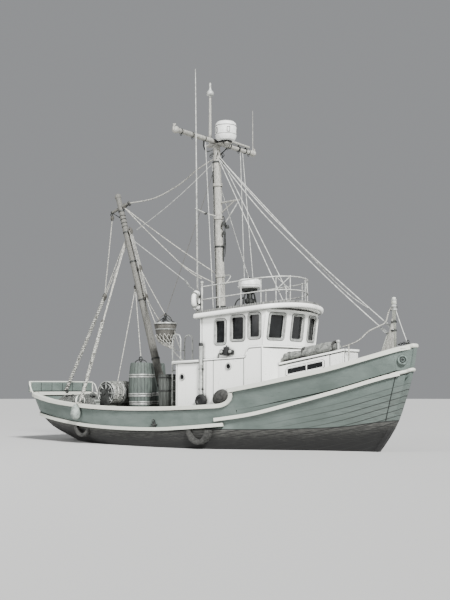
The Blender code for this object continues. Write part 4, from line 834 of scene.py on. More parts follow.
def makeLifebuoy():
    kit = buoyKit
    axis = Vector(kit["axis"]).normalized()
    side = axis.cross(Vector((0, 0, 1)))
    bm = bmesh.new()
    addRing(bm, kit["centre"], axis, kit["radius"], kit["thick"], 40, 12)
    newPiece("lifebuoy", bm, "plastic", smooth=60)
    bm = bmesh.new()
    for a in (45, 135, 225, 315):
        turn = math.radians(a)
        out = side * math.cos(turn) + Vector((0, 0, math.sin(turn)))
        way = axis.cross(out)
        addRing(bm, Vector(kit["centre"]) + out * kit["radius"], way, 0.079, 0.012, 20, 6, 3.0)
    newPiece("lifebuoy_bands", bm, "canvas", smooth=60)
    bm = bmesh.new()
    post = Vector((0.45, -1.2, 4.5))
    for dz in (-0.12, 0.12):
        addTube(bm, [post + Vector((0, 0, dz)), Vector(kit["centre"]) + Vector((0.04, 0.03,
                                                                              dz))], 0.014, 7)
    newPiece("lifebuoy_bracket", bm, "castIron", smooth=45)


makeLifebuoy()


def makeCanvasRoll():
    # two lobes of rolled cover, lashed down on the trunk
    bm = bmesh.new()
    path = [Vector((3.18 + 1.6 * t, -0.62 + 0.26 * t, 2.66 + 0.27 * t)) for t in
            [i / 22 for i in range(23)]]
    for lobe, (dy, dz, size) in enumerate(((-0.05, 0.02, 0.125), (0.1, 0.0, 0.12),
                                          (0.03, 0.12, 0.1))):
        last = None
        for i, spot in enumerate(path):
            t = i / (len(path) - 1)
            if lobe == 2 and not 0.3 <= t <= 0.98:
                continue
            pinch = min(abs(t - s) for s in (0.06, 0.36, 0.95))
            swell = size * (0.78 + 0.22 * min(1.0, pinch / 0.07))
            swell *= 1 + 0.07 * math.sin(17 * t + lobe) + 0.04 * math.sin(41 * t)
            ring = bmesh.ops.create_circle(bm, cap_ends=False, segments=20,
                                           radius=swell)["verts"]
            bmesh.ops.rotate(bm, cent=(0, 0, 0), matrix=Matrix.Rotation(math.pi / 2, 3, "Y"),
                             verts=ring)
            bmesh.ops.translate(bm, vec=spot + Vector((0, dy, dz)), verts=ring)
            edges = list({e for v in ring for e in v.link_edges})
            if last:
                bmesh.ops.bridge_loops(bm, edges=last + edges)
            else:
                bmesh.ops.contextual_create(bm, geom=edges)
            last = edges
        bmesh.ops.contextual_create(bm, geom=last)
    roll = newPiece("canvas_roll", bm, "canvas", smooth=50)
    bm = bmesh.new()
    for t, rise, reach in ((0.06, 0.012, 0.148), (0.36, 0.04, 0.17), (0.95, 0.04, 0.17)):
        spot = path[0].lerp(path[-1], t) + Vector((0, 0.03, rise))
        addRing(bm, spot, (1, 0, 0), reach, 0.016, 28, 6, 2.2)
    newPiece("canvas_straps", bm, "rubber", smooth=50)


makeCanvasRoll()
print("fenders, lifebuoy and cover made")


# the shell of the boat, to seat pieces on its planking

def shellTree(names):
    points, faces = [], []
    for name in names:
        mesh = nodes[name].data
        start = len(points)
        points += [v.co.copy() for v in mesh.vertices]
        faces += [[start + i for i in face.vertices] for face in mesh.polygons]
    return BVHTree.FromPolygons(points, faces)


planking = shellTree(["hull", "bulwark_aft", "bulwark_fore", "stem"])


def onPlanking(x, z, side, out=0.0):
    # the outside of the boat's side at x and z
    hit = planking.ray_cast(Vector((x, side * 4, z)), Vector((0, -side, 0)))[0]
    return Vector((x, (abs(hit.y) if hit else halfBreadth(x)) * side + out * side, z))


def addFrame(bm, centre, across, up, size, corner, band, depth, edge=0.006):
    # a flat rounded frame, outside size, standing out along across x up
    across, up = Vector(across).normalized(), Vector(up).normalized()
    face = bmesh.ops.create_grid(bm, x_segments=1, y_segments=1, size=0.5)["verts"]
    bmesh.ops.scale(bm, vec=(size[0], size[1], 1), verts=face)
    rounded = bmesh.ops.bevel(bm, geom=face, offset=corner, offset_type="OFFSET",
                              affect="VERTICES", segments=5, profile=0.5, material=-1)
    whole = max({f for v in rounded["verts"] for f in v.link_faces},
                key=lambda f: f.calc_area())
    border = bmesh.ops.inset_region(bm, faces=[whole], thickness=band,
                                    use_even_offset=True, use_boundary=True)["faces"]
    bmesh.ops.delete(bm, geom=[whole], context="FACES_ONLY")
    raised = bmesh.ops.extrude_face_region(bm, geom=border)["geom"]
    lifted = [v for v in raised if isinstance(v, bmesh.types.BMVert)]
    bmesh.ops.translate(bm, vec=(0, 0, depth), verts=lifted)
    every = list(set(lifted) | {v for f in border for v in f.verts})
    if edge:
        sharp = [e for f in raised if isinstance(f, bmesh.types.BMFace) for e in f.edges
                 if len([g for g in e.link_faces if g in raised]) == 1]
        done = bmesh.ops.bevel(bm, geom=list(set(sharp)), offset=edge, offset_type="OFFSET",
                               affect="EDGES", segments=2, profile=0.5, material=-1)
        every = list({v for v in every if v.is_valid} | {v for f in done["faces"]
                                                         for v in f.verts})
    turn = Matrix((across, up, across.cross(up))).transposed().to_4x4()
    bmesh.ops.transform(bm, matrix=Matrix.Translation(Vector(centre)) @ turn, verts=every)


wheelhouseKit = {
    "sideWindows": [(1.09, 3.07, 1.54, 3.85), (1.70, 3.16, 2.24, 3.93), (2.35, 3.21, 2.82, 3.98)],
    "frontWindows": [-0.93, 0.0, 0.93], "frontSize": (0.68, 0.8), "frontMiddle": 3.58,
    "aftWindows": [-0.85, 0.85], "aftSize": (0.6, 0.67), "band": 0.034, "gasket": 0.02,
    "side": 1.38, "nose": (3.09, 0.47), "corner": 2.88, "lean": 0.15 / 1.07}


def frontPoint(y, z):
    # on the three flat faces of the wheelhouse front
    noseX, noseY = wheelhouseKit["nose"]
    x = noseX
    if abs(y) > noseY:
        x -= (noseX - wheelhouseKit["corner"]) * (abs(y) - noseY) / (1.38 - noseY)
    return Vector((x + max(0.0, z - 2.99) * wheelhouseKit["lean"], y, z))


def makeWindowFrames():
    kit = wheelhouseKit
    places = []
    for x0, z0, x1, z1 in kit["sideWindows"]:
        middle = ((x0 + x1) / 2, (z0 + z1) / 2)
        size = (x1 - x0, z1 - z0)
        for side in (-1, 1):
            places.append(((middle[0], side * kit["side"], middle[1]), (-side, 0, 0),
                           (0.012, 0, 1), size))
    for y in kit["frontWindows"]:
        low, high = frontPoint(y, 3.2), frontPoint(y, 3.9)
        across = frontPoint(y + 0.2, 3.5) - frontPoint(y - 0.2, 3.5)
        places.append((frontPoint(y, kit["frontMiddle"]), across, high - low,
                       kit["frontSize"]))
    for y in kit["aftWindows"]:
        places.append(((0.56, y, 3.335), (0, -1, 0), (0, 0, 1), kit["aftSize"]))
    light, dark = bmesh.new(), bmesh.new()
    for centre, across, up, size in places:
        width, height = size
        addFrame(light, centre, across, up, (width, height), 0.1, kit["band"], 0.022)
        inner = (width - 2 * kit["band"] - 0.012, height - 2 * kit["band"] - 0.012)
        addFrame(light, centre, across, up, inner, 0.07, kit["gasket"], 0.014, 0.004)
        addFrame(dark, centre, across, up, (width + 0.036, height + 0.036), 0.118,
                 kit["band"] + kit["gasket"] + 0.018, 0.006, 0)
    newPiece("window_frames", light, "frame")
    newPiece("window_gaskets", dark, "black")


makeWindowFrames()


roofKit = {"aft": 0.33, "turn": 2.9, "nose": 0.68, "half": 1.55, "thick": 0.13, "round": 0.12,
           "ribs": 0.27}


def roofHeight(x, y):
    return 4.03 + 0.062 * (x - 0.33) + 0.07 * (1 - (y / 1.55) ** 2)


def roofOutline():
    kit = roofKit
    points = []
    for i in range(41):
        a = math.radians(-90 + 180 * i / 40)
        points.append((kit["turn"] + kit["nose"] * math.cos(a), kit["half"] * math.sin(a)))
    cornerX, cornerY = kit["aft"] + kit["round"], kit["half"] - kit["round"]
    run = [kit["turn"] - (kit["turn"] - cornerX) * i / 16 for i in range(1, 16)]
    points += [(x, kit["half"]) for x in run]
    for i in range(7):
        a = math.radians(90 + 90 * i / 6)
        points.append((cornerX + kit["round"] * math.cos(a), cornerY + kit["round"]
                       * math.sin(a)))
    points += [(kit["aft"], cornerY * (1 - 2 * i / 14)) for i in range(1, 14)]
    for i in range(7):
        a = math.radians(180 + 90 * i / 6)
        points.append((cornerX + kit["round"] * math.cos(a), -cornerY + kit["round"]
                       * math.sin(a)))
    points += [(x, -kit["half"]) for x in reversed(run)]
    return points


def roofLoop(bm, outline, inward, scale, drop):
    # the roof's outline brought in, lying on the crown of the roof
    verts = bmesh.ops.create_circle(bm, cap_ends=False, segments=len(outline), radius=1)["verts"]
    middle = Vector((1.9, 0))
    for vert, (x, y) in zip(verts, outline):
        spot = Vector((x, y))
        spot += (middle - spot).normalized() * inward
        spot = middle + (spot - middle) * scale
        vert.co = (spot.x, spot.y, roofHeight(spot.x, spot.y) - drop)
    return list({e for v in verts for e in v.link_edges})


def makeRoof():
    outline = roofOutline()
    bm = bmesh.new()
    thick = roofKit["thick"]
    section = [(0.0, 0.12, thick), (0.0, 0.9, thick), (0.05, 1.0, thick + 0.01),
               (0.02, 1.0, thick), (0.004, 1.0, thick * 0.82), (0.0, 1.0, thick * 0.5),
               (0.005, 1.0, thick * 0.2), (0.025, 1.0, 0.006), (0.06, 1.0, 0.0),
               (0.0, 0.9, 0.0), (0.0, 0.7, 0.0), (0.0, 0.45, 0.0), (0.0, 0.2, 0.0)]
    loops = [roofLoop(bm, outline, *ring) for ring in section]
    for a, b in zip(loops, loops[1:]):
        bmesh.ops.bridge_loops(bm, edges=a + b)
    bmesh.ops.contextual_create(bm, geom=loops[0])
    bmesh.ops.contextual_create(bm, geom=loops[-1])
    roof = newPiece("wheelhouse_roof_shell", bm, "cabin", smooth=50)
    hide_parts("wheelhouse_roof")
    bm = bmesh.new()
    section = [(0.1, 1.0, 0.002), (0.1, 1.0, -0.014), (0.115, 1.0, -0.018), (0.0, 0.7, -0.018),
               (0.0, 0.45, -0.018), (0.0, 0.2, -0.018)]
    loops = [roofLoop(bm, outline, *ring) for ring in section]
    for a, b in zip(loops, loops[1:]):
        bmesh.ops.bridge_loops(bm, edges=a + b)
    bmesh.ops.contextual_create(bm, geom=loops[-1])
    newPiece("roof_covering", bm, "roofing", smooth=50)
    # low toe board all round the roof
    bm = bmesh.new()
    section = [(0.07, 1.0, 0.01), (0.075, 1.0, -0.065), (0.085, 1.0, -0.072),
               (0.1, 1.0, -0.07), (0.1, 1.0, 0.0)]
    loops = [roofLoop(bm, outline, *ring) for ring in section]
    for a, b in zip(loops, loops[1:] + loops[:1]):
        bmesh.ops.bridge_loops(bm, edges=a + b)
    newPiece("roof_toe_board", bm, "roofing")
    bm = bmesh.new()
    x = roofKit["aft"] + 0.14
    while x < 3.3:
        reach = 1.42 if x < 2.9 else 1.42 * math.sqrt(1 - ((x - 2.9) / 0.58) ** 2)
        path = [(x, reach * k / 8, roofHeight(x, reach * k / 8) + 0.02) for k in range(-8, 9)]
        addTube(bm, path, 0.016, 6)
        x += roofKit["ribs"]
    newPiece("roof_battens", bm, "darkWood")
    # painted shadow: a line under the edge of the roof, darkened by the painted crease shade
    bm = bmesh.new()
    path = [(1.9 + (x - 1.9) * 0.965, y * 0.965, roofHeight(x, y) - 0.145)
            for x, y in outline[::2]]
    path.append(path[0])
    addTube(bm, path, 0.014, 6, False)
    newPiece("roof_shadow_line", bm, "frame")


makeRoof()


trimKit = {"line": [(0.57, 2.62), (2.22, 2.685), (2.27, 2.7), (2.3, 2.76), (2.33, 2.87),
                    (2.37, 2.94), (2.44, 2.972), (2.88, 2.99)],
           "front": [(3.0, -0.9), (3.09, -0.47), (3.09, 0.47), (3.0, 0.9)],
           "radius": 0.026, "seams": [1.08, 2.22], "ports": [(-0.14, 2.12), (1.66, 2.42)]}


def makeTrim():
    kit = trimKit
    light, dark = bmesh.new(), bmesh.new()
    way = [(x, -1.405, z) for x, z in kit["line"]]
    way += [(x + 0.02, y, 2.995) for x, y in kit["front"]]
    way += [(x, 1.405, z) for x, z in reversed(kit["line"])]
    addTube(light, way, kit["radius"], 10)
    # painted shadow: a dark strip under the moulding
    addTube(dark, [(x, y * 1.008, z - kit["radius"] - 0.006) for x, y, z in way], 0.012, 6)
    # top edge of the low deckhouse roof
    edge = [(0.57, -1.46, 2.6), (-0.5, -1.46, 2.575), (-0.545, -1.41, 2.572),
            (-0.545, 1.41, 2.572), (-0.5, 1.46, 2.575), (0.57, 1.46, 2.6)]
    addTube(light, edge, 0.038, 10)
    # painted shadow: a dark strip under the roof edge
    addTube(dark, [(x * 0.99 + 0.005, y * 0.985, z - 0.048) for x, y, z in edge], 0.014, 6)
    for side in (-1, 1):
        for x in kit["seams"]:
            top = 2.66 if x < 2 else 2.68
            addBox(dark, (x - 0.008, side * 1.42 - 0.004, 1.5), (x + 0.008, side * 1.42 + 0.004,
                                                                 top))
        # corner beads of the houses
        addTube(light, [(2.885, side * 1.415, 1.75), (2.885, side * 1.415, 2.98)], 0.02, 10)
        addTube(light, [frontPoint(side * 1.378, 3.03), frontPoint(side * 1.378, 3.92)],
                0.02, 10)
        addTube(dark, [(2.862, side * 1.425, 1.75), (2.862, side * 1.425, 2.96)], 0.007, 6)
        addTube(light, [(0.575, side * 1.385, 2.64), (0.575, side * 1.385, 3.93)], 0.026, 10)
        addTube(dark, [(0.606, side * 1.386, 2.64), (0.606, side * 1.386, 3.93)], 0.008, 6)
        addTube(light, [(-0.375, side * 1.415, 1.2), (-0.375, side * 1.415, 2.54)], 0.02, 10)
        addTube(dark, [(-0.35, side * 1.424, 1.2), (-0.35, side * 1.424, 2.54)], 0.006, 6)
        addTube(light, [(0.62, side * 1.425, 1.3), (0.62, side * 1.425, 2.6)], 0.016, 8)
        addTube(dark, [(0.8, side * 1.424, 1.3), (0.8, side * 1.424, 2.6)], 0.006, 6)
    newPiece("house_mouldings", light, "cabin", smooth=50)
    newPiece("house_seams_and_shadow_strips", dark, "black", smooth=50)
    ring, glass = bmesh.new(), bmesh.new()
    for side in (-1, 1):
        for x, z in kit["ports"]:
            place = (x, side * 1.42, z)
            addSpin(ring, [(0.072, 0.0), (0.074, 0.022), (0.092, 0.03), (0.108, 0.02),
                           (0.112, 0.0), (0.072, 0.0)], place, (0, side, 0), 32)
            addSpin(glass, [(0, 0.008), (0.04, 0.0085), (0.074, 0.006), (0.074, 0.001),
                            (0, 0.001)], place, (0, side, 0), 32)
            for k in range(6):
                a = math.radians(60 * k + 20)
                spot = Vector(place) + Vector((0.092 * math.cos(a), side * 0.026,
                                               0.092 * math.sin(a)))
                addBall(ring, spot, 0.008, rows=5)
    newPiece("porthole_rings", ring, "frame")
    newPiece("porthole_glass", glass, "glass")


makeTrim()


def makeSidelights():
    case, lamp = bmesh.new(), bmesh.new()
    for side in (-1, 1):
        y = side * 1.38
        addBox(case, (1.34, min(y, y + side * 0.07), 2.77), (1.84, max(y, y + side * 0.07), 2.9),
               0.012)
        addBox(case, (1.5, min(y, y + side * 0.1), 2.74), (1.66, max(y, y + side * 0.1), 3.0),
               0.014)
        for x in (1.43, 1.76):
            addSpin(lamp, [(0, 0.14), (0.035, 0.135), (0.052, 0.11), (0.056, 0.06),
                           (0.066, 0.055), (0.066, 0.04), (0.05, 0.03), (0, 0.03)],
                    (x, y, 2.86), (0, side, 0), 24)
            addRing(case, (x, y + side * 0.1, 2.86), (0, 1, 0), 0.062, 0.009, 24, 8)
        addBar(case, (1.58, y + side * 0.05, 2.99), (1.58, y + side * 0.05, 3.05), 0.022, 0.014)
        addTube(case, [(1.34, y + side * 0.03, 2.83), (1.26, y + side * 0.03, 2.8),
                       (1.24, y + side * 0.02, 2.68)], 0.012, 8)
    newPiece("sidelight_boards", case, "black")
    newPiece("sidelights", lamp, "frame")


makeSidelights()


def makeVentPipe():
    bm, cap = bmesh.new(), bmesh.new()
    x, y = 0.64, -1.475
    addSpin(bm, [(0, 1.48), (0.05, 1.48), (0.05, 3.02), (0.054, 3.03), (0.054, 3.06), (0, 3.06)],
            (x, y, 0), (0, 0, 1), 24)
    for z in (1.62, 1.98, 2.5):
        addSpin(bm, [(0.048, z - 0.03), (0.062, z - 0.026), (0.062, z + 0.026),
                     (0.048, z + 0.03)], (x, y, 0), (0, 0, 1), 24)
    addSpin(cap, [(0, 3.05), (0.06, 3.05), (0.064, 3.07), (0.062, 3.13), (0.045, 3.15),
                  (0, 3.152)], (x, y, 0), (0, 0, 1), 24)
    for z in (1.75, 2.35):
        addBox(cap, (x - 0.075, -1.5, z - 0.018), (x + 0.075, -1.42, z + 0.018), 0.006)
    pipe = newPiece("vent_pipe_tube", bm, "frame")
    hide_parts("vent_pipe")
    newPiece("vent_cap", cap, "black")


makeVentPipe()
print("wheelhouse finished outside")


trunkKit = {"windows": (3.27, 4.43), "height": 0.25, "below": 0.245, "split": 3.9}


def trunkHalf(x):
    return 0.8 - 0.205 * (x - 3.05)


def trunkTop(x):
    return 2.44 + 0.196 * (x - 3.0)


def makeTrunk():
    kit = trunkKit
    x0, x1 = kit["windows"]
    middle = (x0 + x1) / 2
    light, dark, glass = bmesh.new(), bmesh.new(), bmesh.new()
    for side in (-1, 1):
        across = Vector((1, -0.205 * side, 0.196)) * (-side)
        centre = Vector((middle, side * (trunkHalf(middle) + 0.001),
                         trunkTop(middle) - kit["below"]))
        size = ((x1 - x0) * 1.04, kit["height"])
        addFrame(light, centre, across, (0, 0, 1), size, 0.08, 0.03, 0.024)
        inner = (size[0] - 0.07, size[1] - 0.07)
        addFrame(light, centre, across, (0, 0, 1), inner, 0.05, 0.014, 0.018, 0.003)
        addFrame(dark, centre, across, (0, 0, 1), (size[0] + 0.025, size[1] + 0.025), 0.09, 0.07,
                 0.008, 0)
        out = Vector((0.205 * side * side, side, 0)).normalized()
        pane = [centre + Vector((1, -0.205 * side, 0.196)) * s * 0.56 + Vector((0, 0, t * 0.1))
                for s, t in ((-1, -1), (1, -1), (1, 1), (-1, 1))]
        verts = [glass.verts.new(p + out * 0.006) for p in pane]
        sheet = glass.faces.new(verts)
        bmesh.ops.solidify(glass, geom=[sheet], thickness=0.004)
        spot = Vector((kit["split"], side * trunkHalf(kit["split"]), trunkTop(kit["split"])
                       - kit["below"]))
        addBar(light, spot + Vector((0, side * 0.012, -0.1)), spot + Vector((0, side * 0.012,
                                                                              0.1)), 0.016)
        x = 4.6
        addTube(dark, [(x, side * (trunkHalf(x) + 0.002), 2.1),
                       (x, side * (trunkHalf(x) + 0.002), trunkTop(x) - 0.02)], 0.007, 6)
        # rounded edge of the trunk roof, and a painted shadow line under it
        edge = [(x, side * (trunkHalf(x) + 0.0), trunkTop(x) + 0.028)
                for x in [3.06 + 1.94 * k / 8 for k in range(9)]]
        addTube(light, edge, 0.034, 10)
        addTube(dark, [(x, y * 1.002, z - 0.046) for x, y, z in edge], 0.013, 6)
        addTube(light, [(4.985, side * 0.4, 2.15), (4.985, side * 0.4, 2.8)], 0.018, 8)
    addTube(light, [(5.01, -0.4, 2.85), (5.015, 0.4, 2.85)], 0.03, 10)
    newPiece("trunk_mouldings", light, "cabin", smooth=45)
    newPiece("trunk_seams_and_shadow_lines", dark, "black", smooth=45)
    newPiece("trunk_panes", glass, "glass", smooth=45)
    # low vent post at the forward end of the cover
    bm = bmesh.new()
    foot = trunkTop(4.8) + 0.05
    addSpin(bm, [(0, foot), (0.075, foot), (0.075, foot + 0.03), (0.045, foot + 0.05),
                 (0.042, 3.06), (0.06, 3.08), (0.064, 3.12), (0.05, 3.15), (0, 3.155)],
            (4.8, -0.36, 0), (0, 0, 1), 24)
    newPiece("trunk_vent", bm, "frame")


makeTrunk()


railKit = {"way": [(0.45, -1.2), (1.4, -1.2), (2.4, -1.18), (2.8, -1.02), (3.08, -0.72),
                   (3.2, -0.35), (3.24, 0.0)], "heights": (0.42, 0.82), "radius": 0.018,
           "posts": [(0.45, 1.2), (1.15, 1.2), (1.95, 1.19), (2.62, 1.1), (2.98, 0.84),
                     (3.19, 0.4)]}


def makeRoofRail():
    kit = railKit
    half = kit["way"]
    way = half + [(x, -y) for x, y in reversed(half[:-1])]
    bm = bmesh.new()
    for height in kit["heights"]:
        flat = smoothPath([(x, y, 0) for x, y in way], 6)
        addTube(bm, [(p.x, p.y, roofHeight(p.x, p.y) + height) for p in flat], kit["radius"], 10)
    for side in (-1, 1):
        for i, (x, y) in enumerate(kit["posts"]):
            base = roofHeight(x, y)
            thick = 0.034 if i == 0 else 0.016
            top = base + (0.93 if i == 0 else 0.82)
            addTube(bm, [(x, side * y, base), (x, side * y, top)], thick, 12)
            addSpin(bm, [(0, 0), (thick * 2.2, 0), (thick * 2.2, 0.02), (thick, 0.035)],
                    (x, side * y, base), (0, 0, 1), 16)
            for height in kit["heights"]:
                addBall(bm, (x, side * y, base + height), kit["radius"] * 1.7, rows=7)
            if i == 0:
                addBall(bm, (x, side * y, top + 0.02), 0.055, rows=9)
                addRing(bm, (x, side * y, top - 0.06), (0, 0, 1), 0.036, 0.012, 16, 8)
    rail = newPiece("roof_rail_tubes", bm, "wire", smooth=45)
    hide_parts("roof_rail")
    # braces between the rails at the front, and a curved pipe from the mast to the rail
    bm = bmesh.new()
    for side in (-1, 1):
        a, b = Vector((2.98, side * 0.84, 0)), Vector((3.19, side * 0.4, 0))
        a.z, b.z = roofHeight(a.x, a.y) + 0.42, roofHeight(b.x, b.y) + 0.82
        addTube(bm, [a, b], 0.011, 6)
        a.z, b.z = roofHeight(a.x, a.y) + 0.82, roofHeight(b.x, b.y) + 0.42
        addTube(bm, [a, b], 0.011, 6)
    addTube(bm, smoothPath([(mastAt(5.33) + 0.12, -0.04, 5.33), (0.75, -0.25, 5.31),
                            (1.1, -0.6, 5.22), (1.28, -0.95, 5.05), (1.32, -1.18, 4.9)], 5),
            0.016, 8)
    newPiece("rail_braces", bm, "wire", smooth=45)


makeRoofRail()


def makeRadar():
    # scanner housing on a pedestal of gear
    white, dark = bmesh.new(), bmesh.new()
    x, y = 1.5, -0.15
    addSpin(white, [(0, 4.84), (0.3, 4.84), (0.355, 4.87), (0.375, 4.9), (0.372, 4.93),
                    (0.352, 4.945), (0.345, 5.06), (0.325, 5.11), (0.27, 5.14), (0.12, 5.155),
                    (0, 5.158)], (x, y, 0), (0, 0, 1), 48)
    base = roofHeight(x, y)
    addSpin(dark, [(0, base), (0.22, base), (0.22, base + 0.03), (0.12, base + 0.06),
                   (0.1, base + 0.2), (0.15, base + 0.24), (0.15, base + 0.34),
                   (0.09, base + 0.38), (0.09, base + 0.5), (0.24, base + 0.6),
                   (0.25, base + 0.67), (0, base + 0.68)], (x, y, 0), (0, 0, 1), 28)
    addRing(dark, (x, y, 4.935), (0, 0, 1), 0.356, 0.012, 40, 6)
    for k in range(6):
        a = math.radians(60 * k + 10)
        spot = Vector((x + 0.2 * math.cos(a), y + 0.2 * math.sin(a), 0))
        addTube(dark, smoothPath([spot + Vector((0, 0, base + 0.02)), spot * 1.0 + Vector((
            0.02 * math.cos(a), 0.02 * math.sin(a), base + 0.25)), Vector((
                x + 0.14 * math.cos(a), y + 0.14 * math.sin(a), base + 0.6))], 5), 0.022, 8)
        addBall(dark, spot + Vector((0, 0, base + 0.03)), 0.045, (1, 1, 0.7), 6)
    addTube(dark, smoothPath([(x - 0.1, y - 0.1, base + 0.4), (x - 0.32, y - 0.2, base + 0.32),
                              (x - 0.45, y - 0.2, base + 0.1), (x - 0.6, y - 0.15, base + 0.02),
                              (x - 0.9, y + 0.1, base)], 5), 0.022, 8)
    addBall(dark, (x, y, 5.18), 0.03, rows=6)
    addSpin(dark, [(0, 5.155), (0.05, 5.155), (0.045, 5.17), (0, 5.18)], (x, y, 0), (0, 0, 1),
            16)
    housing = newPiece("radar_housing", white, "plastic")
    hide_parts("radar_dome")
    newPiece("radar_gear", dark, "castIron")


makeRadar()


def makeRadome():
    # drum on the mast platform, with a seam under its lid and panels round its side
    white, dark = bmesh.new(), bmesh.new()
    x, base, top = 0.45, 9.69, 10.36
    profile = [(0, base), (0.2, base), (0.29, base + 0.03), (0.33, base + 0.1),
               (0.343, base + 0.2), (0.345, base + 0.42), (0.335, base + 0.47),
               (0.335, base + 0.485), (0.34, base + 0.5), (0.325, base + 0.56),
               (0.27, base + 0.62), (0.15, top - 0.015), (0, top)]
    addSpin(white, profile, (x, 0, 0), (0, 0, 1), 48)
    addRing(dark, (x, 0, base + 0.478), (0, 0, 1), 0.336, 0.008, 48, 6)
    addRing(dark, (x, 0, base + 0.2), (0, 0, 1), 0.343, 0.006, 48, 6)
    for k in range(5):
        a = math.radians(72 * k - 110)
        out = Vector((math.cos(a), math.sin(a), 0))
        side = Vector((-math.sin(a), math.cos(a), 0))
        addFrame(dark, Vector((x, 0, base + 0.32)) + out * 0.341, side, (0, 0, 1),
                 (0.1, 0.17), 0.02, 0.012, 0.01, 0)
    addSpin(dark, [(0, 9.65), (0.2, 9.65), (0.2, 9.67), (0.12, 9.7), (0, 9.7)], (x, 0, 0),
            (0, 0, 1), 24)
    drum = newPiece("radome_drum", white, "plastic")
    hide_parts("radome")
    for k in range(3):
        a = math.radians(120 * k + 30)
        addTube(dark, [(x + 0.1 * math.cos(a), 0.1 * math.sin(a), 9.6),
                       (x + 0.2 * math.cos(a), 0.2 * math.sin(a), 9.71)], 0.025, 8)
    newPiece("radome_seams", dark, "black")


makeRadome()
print("roof gear made")


caskKit = {"large": {"node": "barrel_large", "centre": (-2.5, -0.75), "low": 1.05, "top": 2.61,
                     "head": 0.325, "belly": 0.388, "hoops": (1.3, 1.56, 2.18)},
           "small": {"node": "barrel_small", "centre": (-3.07, 0.6), "low": 1.05, "top": 2.63,
                     "head": 0.31, "belly": 0.368, "hoops": (1.3, 1.58, 2.2)}}


def caskRadius(kit, z):
    t = (z - kit["low"]) / (kit["top"] - kit["low"])
    return kit["head"] + (kit["belly"] - kit["head"]) * math.sin(math.pi * t) ** 0.75


def makeCasks():
    for name, kit in caskKit.items():
        x, y = kit["centre"]
        low, top = kit["low"], kit["top"]
        bm = bmesh.new()
        profile = [(0, low), (caskRadius(kit, low) - 0.01, low)]
        profile += [(caskRadius(kit, low + (top - low) * k / 16), low + (top - low) * k / 16)
                    for k in range(1, 16)]
        head = caskRadius(kit, top)
        profile += [(head + 0.004, top - 0.02), (head - 0.01, top), (head - 0.028, top - 0.004),
                    (head - 0.032, top - 0.04), (0, top - 0.04)]
        addSpin(bm, profile, (x, y, 0), (0, 0, 1), 40)
        look = staveFinish("cask staves " + name, (x, y), 20)
        cask = newPiece("cask_" + name, bm, look, smooth=50)
        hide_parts(kit["node"])
        bm = bmesh.new()
        for z in kit["hoops"]:
            for lift in (-0.034, 0.034):
                r = caskRadius(kit, z + lift)
                addSpin(bm, [(r - 0.01, -0.022), (r + 0.008, -0.022), (r + 0.012, -0.015),
                             (r + 0.012, 0.015), (r + 0.008, 0.022), (r - 0.01, 0.022)],
                        (x, y, z + lift), (0, 0, 1), 40)
        newPiece("cask_hoops_" + name, bm, "zinc")
    # eye and becket on the large cask, where the fall is made fast
    bm = bmesh.new()
    x, y = caskKit["large"]["centre"]
    top = caskKit["large"]["top"]
    addSpin(bm, [(0, 0), (0.09, 0), (0.09, 0.02), (0.03, 0.05), (0.03, 0.1), (0, 0.1)],
            (x, y, top - 0.045), (0, 0, 1), 20)
    addRing(bm, (x, y, top + 0.12), (0, 1, 0), 0.07, 0.018, 24, 8)
    addTube(bm, smoothPath([(x - 0.28, y, top - 0.02), (x - 0.2, y, top + 0.06),
                            (x - 0.06, y, top + 0.1), (x + 0.06, y, top + 0.1),
                            (x + 0.2, y, top + 0.06), (x + 0.28, y, top - 0.02)], 4), 0.016, 8)
    newPiece("cask_eye", bm, "castIron")
    bm = bmesh.new()
    for z, r in ((1.2, 0.274), (1.7, 0.29), (2.12, 0.3)):
        addSpin(bm, [(r - 0.01, -0.02), (r + 0.012, -0.02), (r + 0.014, 0.02),
                     (r - 0.01, 0.02)], (-1.2, -0.9, z), (0, 0, 1), 32)
    addRing(bm, (-1.2, -0.9, 2.2), (0, 0, 1), 0.29, 0.02, 32, 8)
    newPiece("tub_hoops", bm, "castIron")


makeCasks()


winchKit = {"axis": (-3.4, 1.62), "bays": [(-1.4, -0.96), (-0.84, -0.44)], "rope": 0.036,
            "core": 0.3, "flange": [-1.43, -0.93, -0.87, -0.41]}


